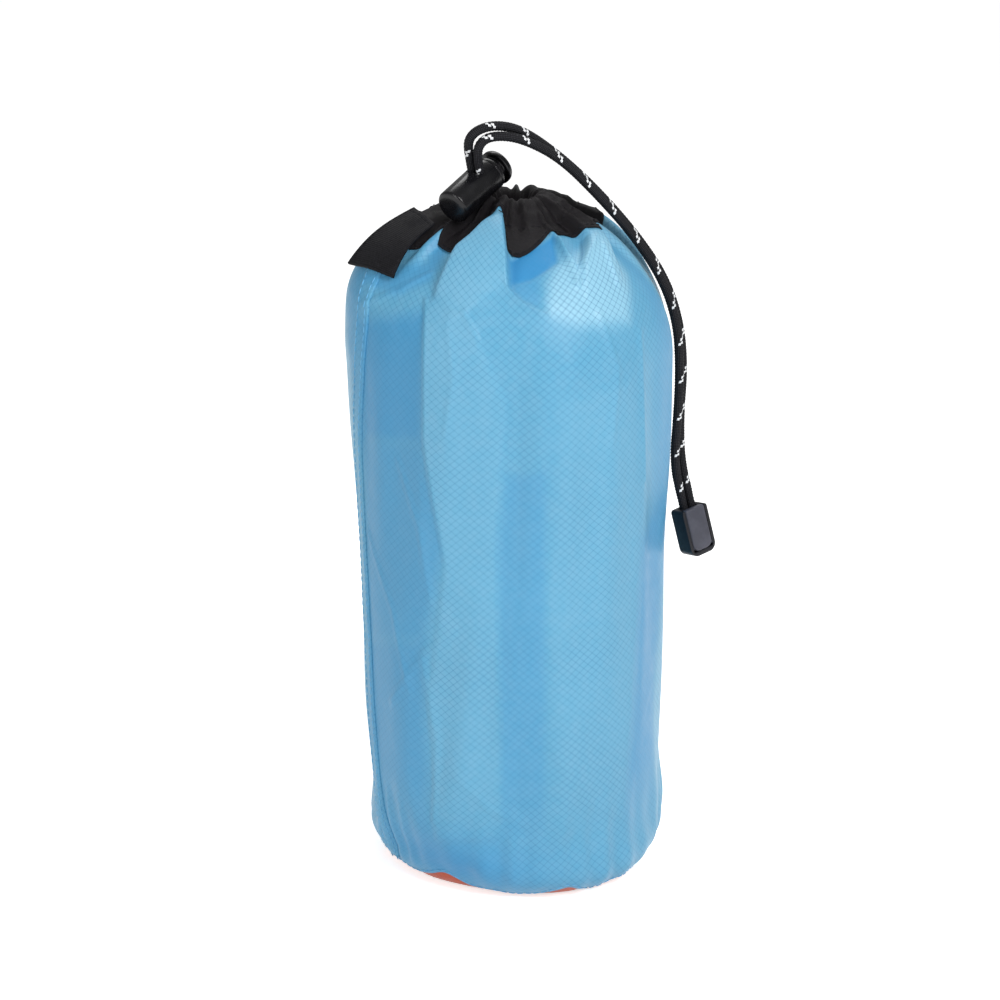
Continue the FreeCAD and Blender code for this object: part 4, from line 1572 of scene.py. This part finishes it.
    def build(self) -> None:
        """Makes the cloth pieces and hangs all but the label and its stitches on the sack."""
        side, base, collar = self.side(), self.base(), self.collar()
        fell, fell_thread = self.seam()
        hem, tunnel, low = self.hem_stitches()
        tape = self.binding()
        tab, tab_thread = self.label()
        for piece, node, slot in (
            (side, "body_panel", "ripstop"),
            (base, "base_panel", "base_cloth"),
            (collar, "collar_tunnel", "collar_cloth"),
            (fell, "side_seam", "ripstop"),
            (tape, "base_binding", "binding"),
            (fell_thread, None, "ripstop"),
            (hem, None, "black_thread"),
            (tunnel, None, "black_thread"),
            (low, None, "ripstop"),
        ):
            hang(piece, Body.SACK, node)
        for piece, slot in ((tab, "label"), (tab_thread, "black_thread")):
            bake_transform(piece)
        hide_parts("label_tab")


# ---- Drawcord ----

OUTER_ROUTE = (
    (-11.59, -6.63, 240.21), (-15.21, -14.32, 257.43), (-14.5, -17.5, 264.5), (-7, -15, 267.5), (3, -9, 265),
    (16, -6, 255.5), (29, -2, 243), (42.5, 1, 227.5), (53, 3, 212), (58.5, 3, 196),
    (60, 2, 180), (59, 1.5, 164), (59.5, 1.5, 147.5), (62.67, 1.37, 134.39), (65.85, 1.37, 121.53),
)
INNER_ROUTE = (
    (-8.97, -8.61, 239.88), (-12.51, -16.14, 256.74), (-10.5, -16.5, 262.5), (-4.5, -16, 264), (4, -12, 262),
    (16, -9.5, 255.5), (28.5, -6, 243), (42, -2.5, 227.5), (52.5, -2, 211.5), (57.5, -1.5, 196),
    (58.5, -2, 180), (58, -2.5, 163.5), (57, -2, 147), (59.94, -0.54, 133.72), (63.12, -0.54, 120.85),
)


@dataclass
class Drawcord:
    """The two free strands, the drawn ring in the tunnel and the eyelet that the strands leave by."""

    finishes: Finishes
    stitches: StitchTree
    diameter: float = 3.0
    around: int = 32
    step: float = 0.28
    carriers: int = 8
    pick: float = 1.15
    relief: float = 0.16
    loose: float = 0.1
    ring_radius: float = 11.834
    exit: Place = (-9.811, -6.618, 237.804)
    exit_across: Place = (0.793, -0.601, -0.102)
    exit_run: Place = (-0.18823, -0.400436, 0.896783)
    eyelet_size: tuple[float, float] = (3.9, 2.3)

    def line(self, name: str, route: Sequence[Sequence[float]], cyclic: bool = False) -> np.ndarray:
        """Points of a route's smooth line.

        Args:
            name: for the passing curve.
            route: control points, mm.
            cyclic: the line is closed.

        Returns:
            Points along the line, mm.
        """
        curve = bpy.data.curves.new(name, "CURVE")
        curve.dimensions = "3D"
        curve.resolution_u = 24
        spline = curve.splines.new("NURBS")
        spline.points.add(len(route) - 1)
        for point, place in zip(spline.points, route):
            point.co = (*(x * MM for x in place), 1.0)
        spline.use_cyclic_u = cyclic
        spline.order_u = 3
        spline.use_endpoint_u = not cyclic
        obj = linked(name, curve)
        mesh = bpy.data.meshes.new_from_object(obj.evaluated_get(bpy.context.evaluated_depsgraph_get()))
        points = np.array([v.co for v in mesh.vertices]) / MM
        bpy.data.objects.remove(obj)
        return points

    def tube(self, name: str, line: np.ndarray, shift: float, closed: bool = False) -> Piece:
        """A braided tube along a line.

        Args:
            name: the piece's name.
            line: points along it, mm.
            shift: turns its tracer yarns along, mm.
            closed: the line is a ring.

        Returns:
            The tube, with its place round and along it as its cloth map.
        """
        if closed:
            line = np.concatenate([line, line[:1]])
        length = np.concatenate([[0], np.cumsum(np.linalg.norm(np.diff(line, axis=0), axis=1))])
        count = int(length[-1] / self.step)
        even = np.linspace(0, length[-1], count)
        path = np.stack([np.interp(even, length, line[:, i]) for i in range(3)], axis=1)
        tangent = np.gradient(path, axis=0)
        tangent /= np.linalg.norm(tangent, axis=1)[:, None]
        normal = np.zeros_like(path)
        side = unit(np.cross(tangent[0], (0.3, 0.5, 0.8)))
        for i in range(count):
            side = unit(side - tangent[i] * side.dot(tangent[i]))
            normal[i] = side
        other = np.cross(tangent, normal)
        u = np.arange(self.around + 1) / self.around
        v = even[:, None] + shift
        p, q = self.carriers * u + v / self.pick, self.carriers * u - v / self.pick
        weave = np.sin(math.pi * p) * np.sin(math.pi * q)
        radius = self.diameter / 2 + self.relief * (np.abs(weave) - 0.5)
        if not closed:
            slack = smooth(17.0, 23.0, even) * (1.0 - smooth(length[-1] - 16.0, length[-1] - 12.0, even))
            radius = radius + self.loose * slack[:, None]
        a = 2 * math.pi * u[None, :, None]
        outward = np.cos(a) * normal[:, None] + np.sin(a) * other[:, None]
        points = path[:, None] + radius[..., None] * outward
        uvs = np.stack(np.broadcast_arrays(u[None], v / 10.0), axis=-1)
        faces = grid_faces(count, self.around + 1)
        if not closed:
            last = (count - 1) * (self.around + 1)
            faces += [tuple(range(self.around - 1, -1, -1)), tuple(range(last, last + self.around))]
        piece = mesh_object(name, points.reshape(-1, 3), faces, uvs.reshape(-1, 2))
        weld(dressed(piece, self.finishes.braid), 0.000004)
        return face_out(piece)

    def eyelet(self) -> Piece:
        """Stitched rim of the hole in the tunnel that both strands leave by.

        Returns:
            The piece exit_eyelet.
        """
        across, run = unit(self.exit_across), unit(self.exit_run)
        wide, tall = self.eyelet_size
        t = np.linspace(0, 2 * math.pi, 90)[:, None]
        ring = wide * np.cos(t) * across + tall * np.sin(t) * np.cross(run, across)
        line = np.array(self.exit) + run * 3.5 + ring
        return self.stitches.lay("exit_eyelet", [line], self.finishes.black_thread, EYELET_STITCH)

    def build(self) -> None:
        """Makes and hangs the drawcord."""
        for name, node, route, length, shift, held in (
            ("cord_outer", "drawcord_outer", OUTER_ROUTE, 0.2161, 0.0, "clip_shell"),
            ("cord_inner", "drawcord_inner", INNER_ROUTE, 0.2036, 7.0, "clip_cover_plate"),
        ):
            line = self.line(name + "_line", route)
            strand = self.tube(name, line, shift)
            hang(strand, Body.SACK, node)
            LOG.info("%s: smooth line %.1f mm", name, np.linalg.norm(np.diff(line, axis=0), axis=1).sum())
        turns = np.linspace(0, 2 * math.pi, 25)[:-1]
        r, height = self.ring_radius, self.exit[2]
        ring = self.line("ring_line", [(r * math.cos(a), r * math.sin(a), height) for a in turns], True)
        hang(self.tube("cord_in_tunnel", ring, 3.0, True), Body.SACK, "drawcord_ring")
        hang(self.eyelet(), Body.SACK, "exit_buttonhole")
        dressed(frame["nodes"]["cord_tips"], self.finishes.black_thread)


# ---- Cord lock ----


def lathe(name: str, outline: Sequence[tuple[float, float]], axes: Axes, segments: int = 72) -> Piece:
    """A turned solid.

    Args:
        name: the piece's name.
        outline: radius and height of its corners, from one end on the axis to the other.
        axes: its frame.
        segments: round it.

    Returns:
        The closed solid.
    """
    points, faces, rings = [], [], []
    a = np.linspace(0, 2 * math.pi, segments, endpoint=False)
    for r, z in outline:
        turns = a if r > 1e-6 else a[:1]
        rings.append(list(range(len(points), len(points) + len(turns))))
        points += [(r * math.cos(t), r * math.sin(t), z) for t in turns]
    for low, high in zip(rings, rings[1:]):
        for j in range(segments):
            k = (j + 1) % segments
            below = (low[j], low[k]) if len(low) > 1 else (low[0],)
            over = (high[k], high[j]) if len(high) > 1 else (high[0],)
            faces.append(below + over)
    return face_out(mesh_object(name, axes.place(np.array(points)), faces))


@dataclass(frozen=True)
class Plate:
    """Plate with rounded corners, across Y and along Z of its frame, between two depths along X, in mm.

    span is its foot and top, radii are those of the lower and the upper corners, arc the points on a corner.
    """

    width: float
    span: tuple[float, float]
    depth: tuple[float, float]
    radii: tuple[float, float]
    arc: int = 8

    def make(self, name: str, axes: Axes) -> Piece:
        """Makes the plate.

        Args:
            name: the piece's name.
            axes: its frame.

        Returns:
            The closed plate.
        """
        half, (low, high), (foot, head) = self.width / 2, self.span, self.radii
        corners = (
            (half - head, high - head, head, 0), (-half + head, high - head, head, 90),
            (-half + foot, low + foot, foot, 180), (half - foot, low + foot, foot, 270),
        )
        ring = [
            (y + radius * math.cos(a), z + radius * math.sin(a))
            for y, z, radius, first in corners
            for a in np.radians(np.linspace(first, first + 90, self.arc))
        ]
        count = len(ring)
        faces = [(i, (i + 1) % count, (i + 1) % count + count, i + count) for i in range(count)]
        faces += [tuple(range(count)), tuple(range(2 * count - 1, count - 1, -1))]
        points = np.array([(x, y, z) for x in self.depth for y, z in ring])
        return face_out(mesh_object(name, axes.place(points), faces))


def cut(piece: Piece, cutters: Sequence[Piece], bevel: float) -> Piece:
    """Cuts solids out of a piece and rounds the sharp edges.

    Args:
        piece: the piece.
        cutters: solids to cut away; they are removed.
        bevel: radius of the rounding, mm.

    Returns:
        The piece as a plain mesh.
    """
    for cutter in cutters:
        modifier = piece.modifiers.new("cut", "BOOLEAN")
        modifier.operation = "DIFFERENCE"
        modifier.solver = "EXACT"
        modifier.object = cutter
    edge = piece.modifiers.new("edge", "BEVEL")
    edge.width = bevel * MM
    edge.segments = 3
    edge.limit_method = "ANGLE"
    edge.angle_limit = math.radians(38)
    edge.harden_normals = False
    baked(piece)
    for cutter in cutters:
        bpy.data.objects.remove(cutter)
    smoothed(piece.data)
    piece.data.set_sharp_from_angle(angle=math.radians(35))
    return piece


@dataclass
class CordLock:
    """Sprung barrel lock: barrel, plunger and spring."""

    finishes: Finishes
    axes: Axes = Axes((-11.694, -10.622, 246.772), (0.793, -0.601, -0.102), (0.580171, 0.69142, 0.430511))
    radius: float = 6.0
    bore: float = 4.42
    top: float = 7.2
    length: float = 22.6
    floor: float = 3.8
    head_radius: float = 6.2
    head: float = 2.2
    shank: float = 14.2
    travel: float = 2.4
    hole_half: float = 3.45
    hole_radius: float = 1.8
    spring_radius: float = 2.95
    reach: float = 24.0

    def hole(self, slot: float) -> Piece:
        """Makes the cutter for the strands' hole, lengthened upwards by a slot.

        Args:
            slot: how far it is lengthened, in mm.

        Returns:
            The cutting solid.
        """
        r = self.hole_radius
        sideways = Axes(self.axes.origin, tuple(-self.axes.matrix()[1]), self.axes.z)
        plate = Plate(2 * self.hole_half, (-r, r + slot), (self.reach, -self.reach), (r, r), 9)
        return plate.make("hole", sideways)

    def barrel(self) -> Piece:
        """The barrel with its domed end, rim, parting line and strand hole.

        Returns:
            The piece lock_barrel_shell.
        """
        foot, top, r = self.top - self.length, self.top, self.radius
        turns = np.linspace(0, math.pi / 2, 18)
        dome = [(r * math.sin(a) ** 0.45, foot + 1.5 * (1 - math.cos(a) ** 0.7)) for a in turns]
        rim = [
            (r, top - 1.7), (r - 0.12, top - 1.6), (r - 0.12, top - 1.45), (r, top - 1.35), (r, top - 0.35),
            (r - 0.1, top - 0.1), (r - 0.35, top), (self.bore + 0.15, top), (self.bore, top - 0.15),
            (self.bore, foot + self.floor), (0.0, foot + self.floor),
        ]
        body = cut(lathe("lock_barrel_shell", dome + rim, self.axes), [self.hole(0.0)], 0.28)
        return dressed(body, self.finishes.lock)

    def plunger(self) -> Piece:
        """The plunger with its dished head and its own strand slot.

        Returns:
            The piece lock_plunger_shell.
        """
        under = self.top + self.travel
        foot = under - self.shank
        r, high = self.head_radius, under + self.head
        shank, seat = self.bore - 0.08, foot + 2.2
        outline = [
            (0.0, seat), (self.spring_radius, seat), (self.spring_radius, foot), (shank - 0.3, foot),
            (shank, foot + 0.3), (shank, under - 0.2), (shank + 0.2, under), (r - 0.3, under),
            (r, under + 0.3), (r, high - 0.8), (r - 0.22, high - 0.3), (r - 0.7, high), (r - 1.5, high),
            (r - 1.9, high - 0.25), (2.0, high - 0.35), (0.0, high - 0.35),
        ]
        body = cut(lathe("lock_plunger_shell", outline, self.axes), [self.hole(2.2)], 0.2)
        return dressed(body, self.finishes.lock)

    def build(self) -> None:
        """Makes and hangs the lock."""
        hang(self.barrel(), Body.LOCK, "lock_barrel")
        hang(self.plunger(), Body.BUTTON, "lock_plunger")
        dressed(frame["nodes"]["lock_spring"], self.finishes.wire)


# ---- Cord clip ----


@dataclass
class CordClip:
    """Clip that holds the strands' ends under a hinged cover."""

    finishes: Finishes
    axes: Axes = Axes((64.7, 0.0, 121.5), (0.546, -0.827, 0.135), (-0.240228, 0.0, 0.970716))
    length: float = 17.5
    width: float = 11.0
    gauge: float = 7.0
    cover_width: float = 8.4
    underside: float = 1.2
    proud: float = 0.3
    foot_wall: float = 1.7
    play: float = 0.1
    strand_spacing: float = 3.4
    strand_width: float = 3.2
    strand_drop: float = 0.5
    pin: Outline = ((0, 0), (0.8, 0), (0.8, 0.75), (0.65, 0.9), (0, 0.9))

    def shell(self) -> Piece:
        """The clip's block with its pocket and the strands' channel.

        Returns:
            The piece clip_shell.
        """
        half, top, out = self.gauge / 2, self.length / 2, 4.0
        block = Plate(self.width, (-top, top), (-half, half), (3.0, 1.1))
        pocket = Plate(
            self.cover_width + 2 * self.play, (-top + self.foot_wall - self.play, top + out),
            (self.underside - self.play, half + out), (0.3, 0.3),
        )
        channel = Plate(
            self.strand_spacing + self.strand_width, (-0.45, top + out),
            (-self.strand_drop - self.strand_width / 2, self.underside + 0.2), (1.5, 0.3),
        )
        cutters = [pocket.make("pocket", self.axes), channel.make("channel", self.axes)]
        return dressed(cut(block.make("clip_shell", self.axes), cutters, 0.8), self.finishes.clip)

    def cover(self) -> Piece:
        """The grey cover with its hinge pins.

        Returns:
            The cover, its pins joined to it.
        """
        name, top, front = "clip_cover_plate", self.length / 2, self.gauge / 2 + self.proud
        foot = -top + self.foot_wall
        plate = Plate(self.cover_width, (foot, top), (self.underside, front), (2.6, 0.8))
        parts = [cut(plate.make(name, self.axes), [], 0.7)]
        middle, half = (self.underside + front) / 2, (front - self.underside) / 2
        for side in (-1, 1):
            place = self.axes.place(np.array([middle, side * (self.cover_width / 2 - 0.2), foot + half]))
            pin = Axes(tuple(place), self.axes.x, tuple(side * self.axes.matrix()[1]))
            parts.append(lathe("pin", self.pin, pin, 24))
        cover = joined(name, parts)
        cover.data.set_sharp_from_angle(angle=math.radians(35))
        return dressed(cover, self.finishes.panel)

    def build(self) -> None:
        """Makes and hangs the clip."""
        hang(self.shell(), Body.SACK, "clip_base")
        hang(self.cover(), Body.DOOR, "clip_cover")


# ---- Floor, light and camera ----


@dataclass(frozen=True)
class Lamp:
    """Softbox: its place and its size in metres, and its power in watts."""

    name: str
    place: Place
    size: tuple[float, float]
    power: float


@dataclass
class Studio:
    """White floor, soft lamps and the camera."""

    target: Place = (-4.3, 0.0, 132.4)
    aim: Place = (0.0, 0.0, 0.13)
    distance: float = 900.0
    elevation: float = 16.0
    view_width: float = 355.0
    sensor: float = 36.0
    floor_half: float = 6.0
    lamps: tuple[Lamp, ...] = (
        Lamp("key", (0.6, -0.8, 0.95), (0.5, 0.7), 11.6),
        Lamp("fill", (-0.75, -0.95, 0.5), (0.25, 0.9), 4.5),
        Lamp("back", (0.1, 0.7, 1.1), (0.8, 0.4), 4.0),
    )

    def floor(self) -> None:
        """A white floor that looks white to the camera and keeps the sack's shadow."""
        mesh = bpy.data.meshes.new("floor")
        half = self.floor_half
        corners = [(-half, -half, 0), (half, -half, 0), (half, half, 0), (-half, half, 0)]
        mesh.from_pydata(corners, [], [(0, 1, 2, 3)])
        n = Nodes("floor_white")
        seen = n.math("MAXIMUM", *(n.add("LightPath", {}, ray) for ray in ("Is Camera Ray", "Is Glossy Ray")))
        n.set(
            Base_Color=(0.9, 0.9, 0.9, 1.0), Roughness=0.9, Specular_IOR_Level=0.1,
            Emission_Color=(1.0, 1.0, 1.0, 1.0), Emission_Strength=n.times(seen, 0.68),
        )
        mesh.materials.append(n.material)
        linked("floor", mesh)

    def world(self) -> None:
        """Pale surroundings, pure white where the camera or a clear piece sees them."""
        world = bpy.data.worlds.new("studio")
        bpy.context.scene.world = world
        world.use_nodes = True
        tree = world.node_tree
        seers = ("Is Camera Ray", "Is Transmission Ray")
        rays = [add_node(tree, "ShaderNodeLightPath", {}, ray) for ray in seers]
        seen = add_node(tree, "ShaderNodeMath", dict(enumerate(rays)), operation="MAXIMUM")
        strength = add_node(tree, "ShaderNodeMapRange", {0: seen, 3: 0.36, 4: 1.0})
        fill(tree, tree.nodes["Background"], {0: (1.0, 1.0, 1.0, 1.0), 1: strength})

    def light(self) -> None:
        """The softboxes, aimed at the sack."""
        for lamp in self.lamps:
            data = bpy.data.lights.new(lamp.name, "AREA")
            data.shape = "RECTANGLE"
            data.size, data.size_y = lamp.size
            data.energy = lamp.power
            obj = linked(lamp.name, data)
            obj.location = lamp.place
            obj.rotation_euler = (Vector(self.aim) - Vector(lamp.place)).to_track_quat("-Z", "Y").to_euler()

    def camera(self) -> None:
        """The camera, level with the front and looking a little down."""
        data = bpy.data.cameras.new("camera")
        data.sensor_width = self.sensor
        data.lens = self.sensor * self.distance / self.view_width
        data.clip_start = 0.01
        rise = math.radians(self.elevation)
        camera = linked("camera", data)
        back = Vector((0, -math.cos(rise), math.sin(rise))) * self.distance
        camera.location = (Vector(self.target) + back) * MM
        camera.rotation_euler = (math.radians(90) - rise, 0, 0)
        bpy.context.scene.camera = camera

    def build(self) -> None:
        """Sets up the whole studio."""
        self.floor()
        self.world()
        self.light()
        self.camera()
        bpy.context.scene.view_settings.view_transform = "Standard"


# ---- Everything together ----


def main() -> None:
    """Builds every part in order."""
    logging.basicConfig(level=logging.INFO, format="%(name)s: %(message)s")
    finishes, stitches = Finishes(), StitchTree()
    surface = FilledSurface(pleats=crown_pleats(), panels=PANELS, creases=FRONT_CREASES + BACK_CREASES)
    Settling().run(surface)
    for part in (
        Sack(surface, finishes, stitches),
        CordLock(finishes),
        CordClip(finishes),
        Drawcord(finishes, stitches),
        Studio(),
    ):
        part.build()
        LOG.info("built %s", type(part).__name__)
    bpy.context.view_layer.update()
    for piece in bpy.data.objects:
        if piece.type == "MESH":
            LOG.info("piece %s: %d faces", piece.name, len(piece.data.polygons))


if __name__ == "__main__":
    main()
